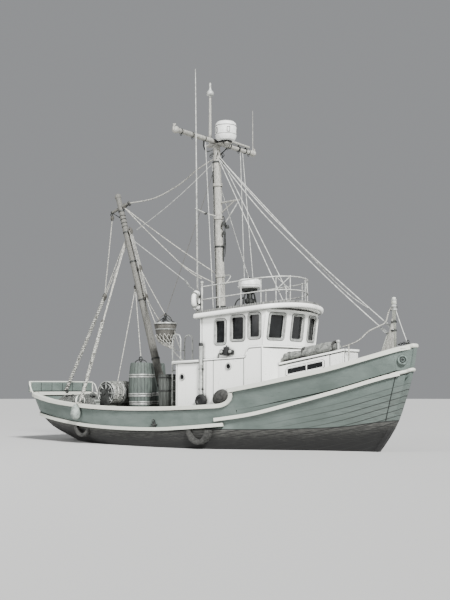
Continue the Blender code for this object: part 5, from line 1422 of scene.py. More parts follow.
def makeWinchRope():
    kit = winchKit
    x, z = kit["axis"]
    bm = bmesh.new()
    for low, high in kit["bays"]:
        for layer in range(2):
            r = kit["core"] + 0.02 + layer * kit["rope"] * 1.25
            inset = 0.01 + layer * 0.02
            turns = int((high - low - 2 * inset) / (kit["rope"] * 1.9))
            path = []
            for i in range(turns * 20 + 1):
                a = 2 * math.pi * i / 20 + layer
                y = low + inset + (high - low - 2 * inset) * i / (turns * 20)
                wave = 1 + 0.012 * math.sin(3.1 * a + 2 * layer)
                path.append((x + r * wave * math.cos(a), y, z + r * wave * math.sin(a)))
            addTube(bm, path, kit["rope"], 8)
    newPiece("winch_rope", bm, "oldRope", "winch_drum", 60)
    # loose bights of rope hanging over the flanges
    bm = bmesh.new()
    for k, y in enumerate((-1.37, -1.24, -1.1, -1.0, -0.7)):
        sway = 0.05 * math.sin(2.3 * k)
        path = []
        for i in range(17):
            a = math.radians(-30 + 15 * i)
            path.append((x + (0.37 + sway * 0.3) * math.cos(a), y + sway * math.sin(a * 1.7),
                         z + 0.36 * math.sin(a)))
        addTube(bm, smoothPath(path, 2), 0.026, 7)
    newPiece("winch_bights", bm, "thickRope", "winch_drum", 60)
    bm = bmesh.new()
    for y in kit["flange"]:
        addRing(bm, (x, y, z), (0, 1, 0), 0.375, 0.018, 40, 8)
        for r in (0.12, 0.3):
            addRing(bm, (x, y, z), (0, 1, 0), r, 0.014, 32, 7, 2.0)
        for k in range(8):
            a = 2 * math.pi * k / 8
            way = Vector((math.cos(a), 0, math.sin(a)))
            addTube(bm, [Vector((x, y, z)) + way * 0.1, Vector((x, y, z)) + way * 0.37], 0.019,
                    7)
    newPiece("winch_flange_rims", bm, "zinc", "winch_drum", 50)


makeWinchRope()


def makeBasketGear():
    centre = Vector((-1.43, -0.75, 0))
    bm, net = bmesh.new(), bmesh.new()
    for z, r, thick in ((3.85, 0.37, 0.028), (3.66, 0.335, 0.014), (3.24, 0.21, 0.016)):
        addRing(bm, centre + Vector((0, 0, z)), (0, 0, 1), r, thick, 36, 8)
    newPiece("basket_hoops", bm, "zinc", smooth=45)
    bm = bmesh.new()
    # hook, ring and four short legs above the basket
    for a in (35, 145, 215, 325):
        turn = math.radians(a)
        addTube(bm, sagged(centre + Vector((0.36 * math.cos(turn), 0.36 * math.sin(turn),
                                            3.87)), centre + Vector((0, 0, 4.1)), 0.03, 5),
                0.014, 6)
    addRing(bm, centre + Vector((0, 0, 4.12)), (0, 1, 0), 0.055, 0.016, 20, 8)
    addBlock(bm, centre + Vector((0, 0, 4.0)), (0, 0, 1), 0.05)
    addTube(bm, smoothPath([centre + Vector((-0.2, 0.1, 3.84)), centre + Vector((-0.1, 0, 4.0)),
                            centre + Vector((0.1, -0.1, 3.98)),
                            centre + Vector((0.24, 0.0, 3.84))], 5), 0.02, 8)
    newPiece("basket_sling", bm, "castIron", smooth=45)
    # net bag gathered to the tether, hanging from the basket
    spots = [(Vector((-1.46, -0.75, 3.5)), 0.31), (Vector((-1.4, -0.76, 3.34)), 0.27),
             (Vector((-1.3, -0.78, 3.2)), 0.19), (Vector((-1.18, -0.79, 3.1)), 0.1),
             (Vector((-1.06, -0.8, 3.03)), 0.03)]
    count = 14
    for k in range(count):
        for twist in (-1, 1):
            path = []
            for i, (spot, r) in enumerate(spots):
                a = 2 * math.pi * (k + twist * 0.6 * i) / count
                path.append(spot + Vector((r * math.cos(a), r * math.sin(a), 0.12 * r
                                           * math.cos(a))))
            addTube(net, smoothPath(path, 2), 0.008, 5)
    newPiece("basket_net", net, "rope", smooth=60)


makeBasketGear()


def addHalfTyre(bm, centre, radius, thick, width, start=180, sweep=180):
    # part of a tyre hung against the planking, its axis across the boat
    profile = [(radius - thick, -width * 0.5), (radius - thick * 0.55, -width * 0.56),
               (radius - thick * 0.1, -width * 0.5), (radius, -width * 0.36),
               (radius + 0.006, 0.0), (radius, width * 0.36), (radius - thick * 0.1,
                                                               width * 0.5),
               (radius - thick * 0.55, width * 0.56), (radius - thick, width * 0.5),
               (radius - thick * 1.04, width * 0.2), (radius - thick * 1.04, -width * 0.2),
               (radius - thick, -width * 0.5)]
    centre = Vector(centre)
    side = Matrix.Rotation(-math.radians(start), 3, "Y") @ Vector((1, 0, 0))
    verts = [bm.verts.new(centre + side * r + Vector((0, h, 0))) for r, h in profile[:-1]]
    edges = [bm.edges.new((verts[i], verts[(i + 1) % len(verts)])) for i in
             range(len(verts))]
    bmesh.ops.contextual_create(bm, geom=edges)
    made = bmesh.ops.spin(bm, geom=verts + edges, cent=centre, axis=(0, -1, 0),
                          angle=math.radians(sweep), steps=26)["geom_last"]
    bmesh.ops.contextual_create(bm, geom=[g for g in made if isinstance(g,
                                                                        bmesh.types.BMEdge)])


strakeKit = {"tyres": [(1.11, 0.56, 0.42, 0.24), (-3.93, 0.56, 0.35, 0.18)],
             "disc": (0.68, 1.4, 0.2), "pad": (1.45, 1.52), "eye": -0.55}


def makeSideGear():
    for side in (-1, 1):
        tag = "starboard" if side < 0 else "port"
        bm = bmesh.new()
        for x, z, radius, width in strakeKit["tyres"]:
            seat = onPlanking(x, z - radius * 0.5, side)
            y = seat.y + side * width * 0.36
            addHalfTyre(bm, (x, y, z), radius, radius * 0.3, width)
        newPiece("tyres_" + tag, bm, "rubber")
        # tread bars
        bm = bmesh.new()
        for x, z, radius, width in strakeKit["tyres"]:
            seat = onPlanking(x, z - radius * 0.5, side)
            y = seat.y + side * width * 0.36
            for k in range(13):
                a = math.radians(186 + 14 * k)
                spot = Vector((x + (radius + 0.004) * math.cos(a), y, z + (radius + 0.004)
                               * math.sin(a)))
                addTube(bm, [spot - Vector((0, width * 0.38, 0)), spot,
                             spot + Vector((0, width * 0.38, 0))], 0.011, 5)
        newPiece("tyre_treads_" + tag, bm, "rubber")
        # black round fender and mottled pad on the rail by the deckhouse
        x, z, r = strakeKit["disc"]
        bm = bmesh.new()
        addSpin(bm, [(0, -0.06), (r * 0.45, -0.06), (r * 0.55, -0.075), (r * 0.9, -0.06), (r, 0),
                     (r * 0.9, 0.06), (r * 0.55, 0.075), (r * 0.45, 0.05), (0, 0.05)],
                (x, side * 1.52, z), (0, side, 0), 40)
        newPiece("round_fender_" + tag, bm, "black")
        x, z = strakeKit["pad"]
        bm = bmesh.new()
        pad = addBall(bm, (0, 0, 0), 1.0, (0.3, 0.1, 0.21), 16)
        bmesh.ops.rotate(bm, cent=(0, 0, 0), matrix=Matrix.Rotation(math.radians(-28), 3, "Y"),
                         verts=pad)
        bmesh.ops.translate(bm, vec=(x, side * 1.56, z), verts=pad)
        newPiece("oval_fender_" + tag, bm, "rubber", smooth=60)
        bm = bmesh.new()
        addTube(bm, smoothPath([(x + 0.2, side * 1.56, z + 0.18), (x + 0.24, side * 1.5,
                                                                   z + 0.25),
                                (x + 0.2, side * 1.44, z + 0.22)], 4), 0.014, 7)
        addTube(bm, smoothPath([(x - 0.24, side * 1.56, z - 0.12), (x - 0.3, side * 1.5,
                                                                    z - 0.1),
                                (x - 0.3, side * 1.43, z + 0.02)], 4), 0.014, 7)
        newPiece("fender_lashing_" + tag, bm, "rope", smooth=60)
        # eye plate on the aft strake
        x = strakeKit["eye"]
        seat = onPlanking(x, 0.72, side)
        bm = bmesh.new()
        addBox(bm, (x - 0.11, min(seat.y - side * 0.01, seat.y + side * 0.06), 0.66),
               (x + 0.11, max(seat.y - side * 0.01, seat.y + side * 0.06), 0.7), 0.008)
        addBox(bm, (x - 0.04, min(seat.y, seat.y + side * 0.05), 0.6),
               (x + 0.04, max(seat.y, seat.y + side * 0.05), 0.78), 0.01)
        addRing(bm, (x, seat.y + side * 0.06, 0.79), (1, 0.2 * side, 0), 0.045, 0.014, 20, 8)
        newPiece("eye_plate_" + tag, bm, "castIron")
        # hawse pipe at the bow
        hx, hz = fenderKit["hawse"]
        seat = onPlanking(hx, hz, side)
        ahead = onPlanking(hx - 0.05, hz, side) - onPlanking(hx - 0.3, hz, side)
        out = Vector((ahead.y * -side, ahead.x * side, 0)).normalized()
        if out.y * side < 0:
            out = -out
        bm = bmesh.new()
        addSpin(bm, [(0.135, -0.03), (0.145, 0.05), (0.13, 0.072), (0.105, 0.075),
                     (0.088, 0.06), (0.084, 0.03), (0.08, -0.03), (0.135, -0.03)],
                seat, out, 36)
        addSpin(bm, [(0.064, 0.03), (0.06, 0.054), (0.046, 0.06), (0.034, 0.05),
                     (0.03, 0.03)], seat, out, 30)
        newPiece("hawse_pipe_" + tag, bm, "hawse")
        # painted shade: a black disc standing for the dark inside of the hawse hole
        bm = bmesh.new()
        addSpin(bm, [(0, 0.035), (0.1, 0.035), (0.1, 0.004), (0, 0.004)], seat, out, 30)
        newPiece("hawse_mouth_shade_" + tag, bm, "black")


looks["hawse"] = metalFinish("hawse iron", linear(112, 126, 120), linear(58, 66, 62), 0.5, 0.2)
makeSideGear()


shadowLineKit = {"size": 0.018}


def underLine(names, xs, side, lift):
    # painted shadow: a dark line along the underside of a strake or rail, against the planking
    tree = shellTree(names)
    line = []
    for x in xs:
        z = 0.4
        for _ in range(3):
            y = onPlanking(x, z, side, 0.03).y
            hit = tree.ray_cast(Vector((x, y, z - 1.2)), Vector((0, 0, 1)))[0]
            if hit is None:
                break
            z = hit.z - 0.02
        if hit is not None:
            at = onPlanking(x, hit.z - 0.03, side, 0.0)
            line.append(Vector((x, at.y, hit.z - lift)))
    return line


def makeShadowLines():
    bm = bmesh.new()
    for side in (-1, 1):
        port = "rub_strake_fore_port" if side > 0 else "rub_strake_fore_starboard"
        runs = [(["cap_rail_aft"], [-6.6 + 0.3 * k for k in range(30)]),
                (["cap_rail_fore"], [2.5 + 0.25 * k for k in range(17)]),
                (["rub_strake_aft"], [-6.4 + 0.3 * k for k in range(27)]),
                ([port], [2.0 + 0.25 * k for k in range(18)])]
        for names, xs in runs:
            line = underLine(names, xs, side, 0.004)
            if len(line) > 3:
                addTube(bm, line, shadowLineKit["size"], 6)
    newPiece("shadow_seams", bm, "black", smooth=60)


makeShadowLines()


mastKit = {"bands": (3.4, 4.35, 5.33, 6.28, 7.22, 8.3, 9.05), "hooks": 6}


def makeMastGear():
    bm, dark = bmesh.new(), bmesh.new()
    # conduit and wiring down the aft side
    addTube(bm, [(mastAt(z) - 0.15 - 0.012 * math.sin(z * 2.1), -0.05, z)
                 for z in [4.25 + 0.3 * k for k in range(17)]], 0.02, 8)
    addTube(dark, [(mastAt(z) - 0.11, -0.1 - 0.01 * math.sin(z * 3), z)
                   for z in [4.25 + 0.3 * k for k in range(16)]], 0.011, 6)
    for z in mastKit["bands"]:
        r = 0.145 - 0.03 * (z - 2.6) / 7
        addSpin(dark, [(r - 0.01, -0.03), (r + 0.01, -0.028), (r + 0.012, 0.028),
                       (r - 0.01, 0.03)], (mastAt(z), 0, z), (0, 0, 1), 28)
        addBall(dark, (mastAt(z) - r - 0.012, -0.05, z), 0.03, rows=6)
    # deck lamps under the bracket
    x = mastAt(6.9) + 0.24
    for spot, size in (((x, -0.06, 7.02), 0.075), ((x + 0.03, 0.08, 6.93), 0.07),
                       ((x - 0.02, -0.02, 6.72), 0.06)):
        addSpin(dark, [(0, 0.06), (size * 0.5, 0.055), (size, 0.0), (size * 1.05, -0.05),
                       (size * 0.8, -0.06), (0, -0.03)], spot, (0.3, -0.3, 1), 20)
        addBall(bm, Vector(spot) + Vector((0, 0, -0.045)), size * 0.62, rows=7)
    addTube(dark, smoothPath([(mastAt(7.22) + 0.1, 0, 7.22), (x - 0.05, 0, 7.24),
                              (x, 0, 7.05), (x, 0, 6.7)], 5), 0.018, 8)
    addTube(dark, smoothPath([(x, 0, 6.7), (x - 0.02, 0.02, 6.4), (x - 0.06, 0, 6.1),
                              (mastAt(5.8) + 0.12, 0, 5.8)], 5), 0.03, 8)
    addTube(dark, smoothPath([(x + 0.02, -0.02, 6.6), (x + 0.02, 0.02, 6.3),
                              (x - 0.03, 0.03, 5.95)], 5), 0.012, 6)
    # brace from the lamp bracket up to the arm
    addTube(bm, [(mastAt(6.85) + 0.1, 0, 6.85), (0.95, 0, 7.66)], 0.018, 8)
    # bracket that steadies the whip aerial
    addTube(bm, [(0.33, -1.36, 7.31), (0.12, -0.6, 7.29), (mastAt(7.3) - 0.02, -0.1, 7.27)],
            0.022, 8)
    addRing(bm, (0.335, -1.36, 7.31), (0, 0, 1), 0.028, 0.012, 16, 7)
    addBall(dark, (0.14, -0.65, 7.29), 0.05, (1, 1.3, 0.9), 7)
    # hooks and shackles under the platform
    for k in range(mastKit["hooks"]):
        a = 2 * math.pi * k / mastKit["hooks"] + 0.3
        spot = Vector((mastAt(9.3) + 0.13 * math.cos(a), 0.13 * math.sin(a), 9.3))
        out = Vector((math.cos(a), math.sin(a), 0))
        addTube(dark, smoothPath([spot, spot + out * 0.08 + Vector((0, 0, 0.03)),
                                  spot + out * 0.12 - Vector((0, 0, 0.05)),
                                  spot + out * 0.05 - Vector((0, 0, 0.09))], 4), 0.014, 7)
    for s in (-1, 1):
        addTube(dark, smoothPath([(0.0, s * 0.12, 9.45), (-0.1, s * 0.3, 9.38),
                                  (-0.06, s * 0.5, 9.5), (0.02, s * 0.6, 9.64)], 5), 0.018, 8)
    newPiece("mast_pipes", bm, "wire", smooth=45)
    newPiece("mast_gear", dark, "castIron", smooth=45)
    # masthead light: mushroom cap, neck and knob, and a small fitting on the pole
    bm = bmesh.new()
    addSpin(bm, [(0, 11.25), (0.05, 11.25), (0.055, 11.29), (0.1, 11.31), (0.118, 11.34),
                 (0.118, 11.4), (0.1, 11.44), (0.05, 11.48), (0.035, 11.54), (0.028, 11.6),
                 (0.036, 11.64), (0.036, 11.7), (0.02, 11.73), (0, 11.735)],
            (-0.2, 0, 0), (0, 0, 1), 28)
    newPiece("masthead_light", bm, "frame")


makeMastGear()


def makeYardGear():
    bm, dark = bmesh.new(), bmesh.new()
    # twin spar on the port half, seized to the yard
    addBar(bm, (0.16, 0.15, 9.86), (0.16, 1.62, 9.84), 0.045, 0.04, 14)
    for y in (0.25, 0.7, 1.15, 1.55):
        addSpin(dark, [(0.085, -0.02), (0.095, -0.018), (0.095, 0.018), (0.085, 0.02)],
                (0.05, y, 9.72), (0, 1, 0), 24)
        addTube(dark, [(0.05, y, 9.8), (0.16, y, 9.86)], 0.02, 7)
    for s in (-1, 1):
        # cleats on the yard ends
        end = Vector((0.05, s * 2.0, 9.72))
        addBar(dark, end + Vector((0, s * 0.02, 0)), end + Vector((0, s * 0.1, 0)), 0.06, 0.05,
               14)
        addTube(bm, smoothPath([end + Vector((0, s * 0.02, -0.06)),
                                end + Vector((0, s * 0.1, -0.02)),
                                end + Vector((0, s * 0.09, 0.1)),
                                end + Vector((0, s * 0.02, 0.17))], 4), 0.03, 8)
        addTube(bm, smoothPath([end + Vector((0, s * 0.09, 0.08)),
                                end + Vector((0, s * 0.1, 0.17))], 2), 0.024, 8)
        for y in (0.6, 1.2, 1.75):
            addSpin(dark, [(0.083, -0.016), (0.09, -0.014), (0.09, 0.014), (0.083, 0.016)],
                    (0.05, s * y, 9.72), (0, 1, 0), 24)
            addRing(dark, (0.05, s * y, 9.61), (0, 1, 0), 0.03, 0.009, 14, 6)
    newPiece("yard_fittings", bm, "spar", smooth=45)
    newPiece("yard_bands", dark, "castIron", smooth=45)


makeYardGear()


def makeBoomGear():
    dark, light = bmesh.new(), bmesh.new()
    for run in (0.6, 1.5, 3.6, 5.0, 6.1, 6.9):
        spot = boomFoot + boomWay * run
        r = 0.14 - 0.05 * run / 7.5
        addSpin(dark, [(r - 0.01, -0.03), (r + 0.014, -0.026), (r + 0.014, 0.026),
                       (r - 0.01, 0.03)], spot, boomWay, 26)
    across = Vector((-3.77, 0, 8.18)) - Vector((-4.63, 0, 7.9))
    across.normalize()
    for end, s in ((Vector((-4.63, 0, 7.9)), -1), (Vector((-3.77, 0, 8.18)), 1)):
        addRing(dark, end - Vector((0, 0, 0.06)), (0, 1, 0), 0.05, 0.016, 20, 8)
        addSpin(dark, [(0.03, -0.02), (0.062, -0.02), (0.062, 0.02), (0.03, 0.02)],
                end - across * s * 0.03, across, 18)
    head = Vector((-4.33, 0, 8.44))
    addSpin(light, [(0, 0.12), (0.05, 0.11), (0.095, 0.05), (0.1, -0.02), (0.092, -0.08)], head,
            boomWay, 24)
    for k in range(4):
        addRing(dark, onBoom(7.35 + 0.13 * k, 0.0), boomWay, 0.1, 0.012, 24, 7)
    addTube(dark, [onBoom(7.9, 0.1), Vector((-3.82, 0, 8.12))], 0.014, 6)
    addTube(dark, [onBoom(7.7, -0.1), Vector((-4.55, 0, 7.88))], 0.014, 6)
    newPiece("boom_bands", dark, "castIron", "boom", 45)
    newPiece("boom_cap", light, "boomWood", "boom", 45)


makeBoomGear()
print("spars fitted out")


bowKit = {"post": 6.42, "cheek": (6.62, 6.8), "cheekRise": (2.27, 2.86)}
stemTree = shellTree(["stem"])


def stemFront(z):
    return stemTree.ray_cast(Vector((9, 0, z)), Vector((-1, 0, 0)))[0].x


def makeStemHead():
    # the cap and the strakes are carried round the stem
    bm = bmesh.new()
    made = addBox(bm, (6.8, -0.15, 2.865), (7.1, 0.15, 2.985), 0.045)
    bmesh.ops.rotate(bm, cent=(6.95, 0, 2.92), matrix=Matrix.Rotation(math.radians(-9), 3, "Y"),
                     verts=made)
    for side in (-1, 1):
        path = [onPlanking(x, z, side, 0.03) for x, z in ((6.5, 2.135), (6.62, 2.175),
                                                          (6.74, 2.21), (6.84, 2.24))]
        tip = stemFront(2.28)
        path += [Vector((tip - 0.02, side * 0.1, 2.275)), Vector((tip + 0.015, side * 0.05,
                                                                  2.285)),
                 Vector((tip + 0.025, 0, 2.288))]
        addTube(bm, smoothPath(path, 3), 0.05, 12)
    newPiece("stem_head", bm, "rail", smooth=50)
    # cheek plates close the planking to the stem
    bm = bmesh.new()
    low, high = bowKit["cheekRise"]
    for side in (-1, 1):
        sheet = bmesh.ops.create_grid(bm, x_segments=2, y_segments=6, size=0.5)["verts"]
        for vert in sheet:
            z = low + (high - low) * (vert.co.y + 0.5)
            column = round(2 * (vert.co.x + 0.5))
            if column < 2:
                vert.co = onPlanking(bowKit["cheek"][column], z, side, 0.004)
            else:
                vert.co = (stemFront(z) - 0.03, side * 0.064, z)
        bmesh.ops.solidify(bm, geom=list({f for v in sheet for f in v.link_faces}),
                           thickness=0.008)
    newPiece("bow_cheeks", bm, "hull")
    bm = bmesh.new()
    for side in (-1, 1):
        line = [onPlanking(6.2 + 0.4 * t, 0.88 + 1.26 * t, side, 0.002) for t in
                [k / 10 for k in range(11)]]
        addTube(bm, line, 0.012, 6)
        # painted shadow: a dark line under the strake round the bow
        under = [onPlanking(6.3, 2.02, side, 0.004), onPlanking(6.6, 2.1, side, 0.004),
                 onPlanking(6.8, 2.17, side, 0.004), Vector((stemFront(2.22), side * 0.06, 2.22))]
        addTube(bm, under, 0.014, 6)
    newPiece("rabbet_and_shadow_lines", bm, "black", smooth=50)


makeStemHead()


def makeBowGear():
    dark, light = bmesh.new(), bmesh.new()
    x = bowKit["post"]
    # lantern on the post: base, ribbed body, cap and knob
    addSpin(light, [(0, 4.04), (0.075, 4.04), (0.085, 4.06), (0.06, 4.09), (0.062, 4.2),
                    (0.075, 4.22), (0.07, 4.26), (0.03, 4.29), (0.02, 4.32), (0, 4.33)],
            (x, 0, 0), (0, 0, 1), 28)
    knee = bmesh.new()
    bend = [Vector((6.37, 0, 3.72)), Vector((6.24, 0, 2.98)), Vector((5.84, 0, 2.6))]
    edge = []
    for k in range(13):
        t = k / 12
        edge.append(bend[0] * (1 - t) ** 2 + bend[1] * 2 * t * (1 - t) + bend[2] * t * t)
    edge += [Vector((5.86, 0, 2.5)), Vector((6.44, 0, 2.62)), Vector((6.42, 0, 3.72))]
    face = knee.faces.new([knee.verts.new(p - Vector((0, 0.06, 0))) for p in edge])
    raised = bmesh.ops.extrude_face_region(knee, geom=[face])["geom"]
    bmesh.ops.translate(knee, vec=(0, 0.12, 0), verts=[v for v in raised if isinstance(
        v, bmesh.types.BMVert)])
    bmesh.ops.bevel(knee, geom=[e for e in knee.edges if len(e.link_faces) == 2
                                and e.calc_face_angle() > 1.2], offset=0.016,
                    offset_type="OFFSET", affect="EDGES", segments=2, profile=0.5, material=-1)
    newPiece("bow_knee", knee, "spar")
    for z in (3.96, 4.0):
        addRing(light, (x, 0, z), (0, 0, 1), 0.07, 0.018, 28, 8)
    addRing(dark, (x - 0.09, 0, 3.98), (0, 1, 0), 0.035, 0.011, 16, 7)
    addRing(dark, (x + 0.07, 0, 4.03), (0, 1, 0), 0.03, 0.01, 16, 7)
    for z in (3.38, 3.62):
        addSpin(dark, [(0.07, -0.02), (0.084, -0.018), (0.084, 0.018), (0.07, 0.02)],
                (x - 0.01, 0, z), (0, 0, 1), 24)
    # chain of links along the stem head
    for k in range(7):
        t = k / 6
        spot = Vector((6.56 + 0.3 * t, 0.0, 2.985 + 0.035 * math.sin(2.5 * t)))
        addRing(dark, spot, (0, 1, 0) if k % 2 else (0.2, 0.3, 1), 0.032, 0.011, 14, 6)
    addSpin(dark, [(0, 0), (0.05, 0), (0.05, 0.03), (0.03, 0.05), (0, 0.055)], (6.84, 0, 2.97),
            (0, 0, 1), 18)
    addRing(dark, (6.84, 0, 3.06), (0, 1, 0), 0.035, 0.012, 16, 7)
    for s in (-1, 1):
        # mooring bitts on the fore rail
        for bx in (5.75, 6.0):
            y = s * (onPlanking(bx, 2.4, s).y * s - 0.16)
            addSpin(dark, [(0, 2.2), (0.045, 2.2), (0.045, 2.44), (0.06, 2.45), (0.06, 2.49),
                           (0, 2.5)], (bx, y, 0), (0, 0, 1), 18)
    newPiece("bow_lantern", light, "frame")
    newPiece("bow_iron", dark, "castIron")
    # windlass: whipping drums, ratchet wheel and chain to the hawse
    bm = bmesh.new()
    for s in (-1, 1):
        addSpin(bm, [(0, 0.22), (0.11, 0.22), (0.13, 0.24), (0.095, 0.28), (0.09, 0.34),
                     (0.13, 0.39), (0.135, 0.42), (0.04, 0.425), (0, 0.42)],
                (5.48, 0, 2.2), (0, s, 0), 28)
        addRing(bm, (5.48, s * 0.12, 2.2), (0, 1, 0), 0.15, 0.02, 32, 8, 1.6)
        for k in range(14):
            a = 2 * math.pi * k / 14
            addBall(bm, (5.48 + 0.168 * math.cos(a), s * 0.12, 2.2 + 0.168 * math.sin(a)), 0.016,
                    rows=5)
        for k in range(16):
            t = k / 15
            spot = Vector((5.62 + 0.9 * t, s * (0.12 + 0.1 * t), 2.26 - 0.06 * math.sin(
                math.pi * t) + 0.2 * t))
            addRing(bm, spot, (0, 1, 0) if k % 2 else (0, 0, 1), 0.036, 0.011, 12, 6)
    newPiece("windlass_gear", bm, "castIron")


makeBowGear()


def floatFinish():
    n = Nodes("float, striped")
    place = n.add("ShaderNodeSeparateXYZ")
    n.link(n.mapped((1, 1, 1), (4.62, 1.45, 0)), place.inputs[0])
    turn = n.calc("ARCTAN2", place.outputs[1], place.outputs[0])
    part = n.calc("FRACT", n.calc("MULTIPLY", turn, 8 / (2 * math.pi)))
    wear = n.noise(n.mapped(), 18, 4, 0.7)
    stripe = n.level(n.calc("ADD", part, n.calc("MULTIPLY", wear, 0.12)), 0.52, 0.58)
    colour = n.mix(stripe, linear(205, 206, 198), linear(84, 90, 86))
    # painted shade: darker colour in creases, from the ambient occlusion mask
    colour = n.mix(paintedCreaseShade(n), ink, colour)
    n.bump(wear, 0.2, 0.004)
    return n.finish(colour, 0.55)


def nettingFinish():
    n = Nodes("heaped netting")
    knots = n.add("ShaderNodeTexVoronoi", feature="DISTANCE_TO_EDGE")
    knots.inputs["Scale"].default_value = 16
    n.link(n.mapped(), knots.inputs["Vector"])
    mesh = n.calc("SUBTRACT", 1.0, n.level(knots.outputs["Distance"], 0.03, 0.12))
    shade = n.noise(n.mapped(), 4, 5, 0.7)
    colour = n.ramp(shade, [(0.35, linear(22, 23, 22)), (0.65, linear(70, 73, 70))])
    colour = n.mix(n.calc("MULTIPLY", mesh, 0.6), colour, linear(150, 152, 146))
    # painted shade: darker colour in creases, from the ambient occlusion mask
    colour = n.mix(paintedCreaseShade(n), ink, colour)
    n.bump(n.calc("ADD", mesh, shade), 0.8, 0.03)
    return n.finish(colour, 0.95)


looks["netting"] = nettingFinish()


def makeSternGear():
    light, dark = bmesh.new(), bmesh.new()
    # double rail and posts of the stern board, with the rail ends bent down
    for z, r in ((2.0, 0.03), (1.93, 0.012), (1.7, 0.02)):
        addTube(light, [(-7.056, -1.52, z), (-7.056, 0, z + 0.01), (-7.056, 1.52, z)], r, 10)
    for y in (-1.5, -1.0, -0.5, 0.0, 0.5, 1.0, 1.5):
        addTube(light if abs(y) > 1.4 else dark, [(-7.018, y, 1.64), (-7.018, y, 1.98)],
                0.024 if abs(y) > 1.4 else 0.008, 8)
    for s in (-1, 1):
        addTube(light, smoothPath([(-7.04, s * 1.52, 2.0), (-6.96, s * 1.58, 1.9),
                                   (-6.86, s * 1.58, 1.7), (-6.8, s * 1.56, 1.62)], 5), 0.024,
                8)
    addTube(dark, [(-7.02, -1.5, 1.68), (-7.02, 0, 1.69), (-7.02, 1.5, 1.68)], 0.012, 6)
    newPiece("stern_rails", light, "rail", smooth=45)
    newPiece("stern_shadow", dark, "black", smooth=45)
    # eye plates of the two guys
    bm = bmesh.new()
    for foot in (Vector((-6.93, 0.1, 1.7)), Vector((-4.13, -1.86, 1.36))):
        addSpin(bm, [(0, -0.06), (0.09, -0.06), (0.09, -0.03), (0.035, 0.0), (0, 0.01)], foot,
                (0, 0, 1), 20)
        addRing(bm, foot + Vector((0, 0, 0.04)), (0, 1, 0), 0.055, 0.018, 20, 8)
    newPiece("guy_eyes", bm, "castIron", smooth=45)
    # heap of net on the after deck
    bm = bmesh.new()
    made = bmesh.ops.create_grid(bm, x_segments=46, y_segments=46, size=1.0)["verts"]
    for vert in made:
        u, v = vert.co.x, vert.co.y
        edge = max(0.0, 1 - (u * u + v * v) ** 1.6)
        lump = (0.5 * math.sin(7.3 * u + 2 * v) + 0.4 * math.sin(9.1 * v - 3 * u)
                + 0.3 * math.sin(15 * u * v + 4 * u) + 0.25 * math.sin(23 * u + 17 * v))
        height = edge ** 0.6 * (0.44 + 0.085 * lump)
        vert.co = (-5.95 + 0.88 * u, 0.05 + 1.2 * v, 1.09 + height)
    newPiece("net_heap", bm, "netting", smooth=60)
    bm = bmesh.new()
    for k in range(15):
        a = 2.4 * k
        spot = Vector((-5.95 + 0.6 * math.cos(a) * (k % 5) / 4, 0.05 + 0.85 * math.sin(a)
                       * (k % 4 + 1) / 4.5, 1.48))
        addBall(bm, spot + Vector((0, 0, 0.05 * math.sin(k))), 0.065, (1, 1, 0.8), 7)
    newPiece("net_corks", bm, "castIron", smooth=50)
    # striped float ball beside the rail, with bands round it
    bm = bmesh.new()
    addBall(bm, (-4.62, -1.45, 1.36), 0.21, (1, 1, 0.96), 14)
    newPiece("float_ball", bm, floatFinish(), smooth=60)
    bm = bmesh.new()
    for a in range(0, 180, 45):
        turn = math.radians(a)
        ring = [Vector((-4.62 + 0.214 * math.cos(b) * math.cos(turn),
                        -1.45 + 0.214 * math.cos(b) * math.sin(turn),
                        1.36 + 0.206 * math.sin(b))) for b in
                [2 * math.pi * i / 24 for i in range(25)]]
        addTube(bm, ring, 0.009, 6, False)
    newPiece("float_bands", bm, "castIron", smooth=60)


makeSternGear()
print("bow and stern gear made")


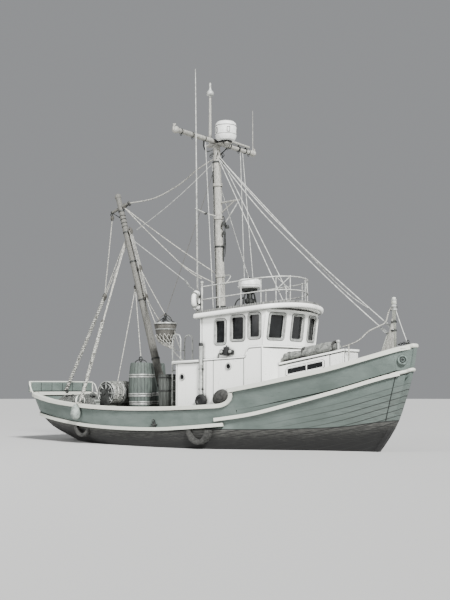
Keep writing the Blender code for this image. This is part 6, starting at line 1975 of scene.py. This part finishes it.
def makeDoorAndDeck():
    # door furniture and the frame of the doorway in the after wall
    bm, dark = bmesh.new(), bmesh.new()
    addFrame(bm, (-0.485, 0.53, 2.02), (0, -1, 0), (0, 0, 1), (0.42, 0.36), 0.06, 0.03, 0.02)
    addSpin(dark, [(0, 0.0), (0.16, 0.0), (0.16, 0.006), (0, 0.006)], (-0.49, 0.53, 2.02),
            (-1, 0, 0), 32)
    for z in (1.1, 1.55, 2.2):
        addBox(dark, (-0.515, 0.17, z - 0.02), (-0.485, 0.42, z + 0.02), 0.006)
    addBar(dark, (-0.5, 0.82, 1.55), (-0.56, 0.82, 1.55), 0.016)
    addTube(dark, smoothPath([(-0.56, 0.82, 1.55), (-0.565, 0.76, 1.55), (-0.565, 0.68, 1.54)],
                             4), 0.014, 8)
    newPiece("door_window_frame", bm, "frame", "deckhouse_door", 40)
    newPiece("door_furniture", dark, "castIron", "deckhouse_door", 40)
    bm = bmesh.new()
    for y in (0.12, 0.94):
        addTube(bm, [(-0.392, y, 0.86), (-0.392, y, 2.36)], 0.018, 8)
    addTube(bm, [(-0.392, 0.12, 2.36), (-0.392, 0.94, 2.36)], 0.018, 8)
    addTube(bm, smoothPath([(-0.39, -0.3, 1.3), (-0.5, -0.3, 1.34), (-0.5, -0.3, 1.9),
                            (-0.39, -0.3, 1.94)], 5), 0.014, 8)
    newPiece("doorway_beads", bm, "cabin", smooth=45)
    # ring bolts and strap hinges of the hatch
    bm = bmesh.new()
    for y in (-0.3, 0.3):
        addBox(bm, (-4.88, y - 0.035, 1.386), (-4.1, y + 0.035, 1.398), 0.004)
    for x in (-4.7, -4.05):
        addRing(bm, (x, 0.0, 1.405), (0.1, 0, 1), 0.06, 0.011, 20, 7)
    newPiece("hatch_straps", bm, "castIron", "hatch_lid", 40)


makeDoorAndDeck()


stageKit = {"camera": (19.87, -24.9, 1.754), "lens": 60.0, "tilt": 95.085, "yaw": 38.0,
            "floor": (0.5, 0.5, 0.49), "key": 8.6, "fill": 4400.0}


def makeStage():
    bm = bmesh.new()
    bmesh.ops.create_circle(bm, cap_ends=True, segments=96, radius=150)
    mesh = bpy.data.meshes.new("floor")
    bm.to_mesh(mesh)
    bm.free()
    floor = bpy.data.objects.new("floor", mesh)
    bpy.context.scene.collection.objects.link(floor)
    ground = bpy.data.materials.new("pale floor")
    ground.use_nodes = True
    shader = ground.node_tree.nodes["Principled BSDF"]
    shader.inputs["Base Color"].default_value = (*stageKit["floor"], 1)
    shader.inputs["Roughness"].default_value = 0.7
    mesh.materials.append(ground)
    lens = bpy.data.cameras.new("view")
    lens.lens = stageKit["lens"]
    lens.sensor_width = 36
    lens.clip_end = 400
    camera = bpy.data.objects.new("view", lens)
    camera.location = stageKit["camera"]
    camera.rotation_euler = (math.radians(stageKit["tilt"]), 0, math.radians(stageKit["yaw"]))
    bpy.context.scene.collection.objects.link(camera)
    bpy.context.scene.camera = camera
    sunData = bpy.data.lights.new("key", "SUN")
    sunData.energy = stageKit["key"]
    sunData.angle = math.radians(12)
    sun = bpy.data.objects.new("key", sunData)
    sun.rotation_euler = (math.radians(52), 0, math.radians(62))
    bpy.context.scene.collection.objects.link(sun)
    softData = bpy.data.lights.new("fill", "AREA")
    softData.energy = stageKit["fill"]
    softData.size = 14
    soft = bpy.data.objects.new("fill", softData)
    soft.location = (-8, -26, 12)
    soft.rotation_euler = (Vector((0, 0, 3)) - soft.location).to_track_quat(
        "-Z", "Y").to_euler()
    bpy.context.scene.collection.objects.link(soft)
    world = bpy.data.worlds.new("studio")
    world.use_nodes = True
    world.node_tree.nodes["Background"].inputs["Color"].default_value = (0.9, 0.92, 0.95, 1)
    world.node_tree.nodes["Background"].inputs["Strength"].default_value = 0.34
    bpy.context.scene.world = world


makeStage()
print("stage set")
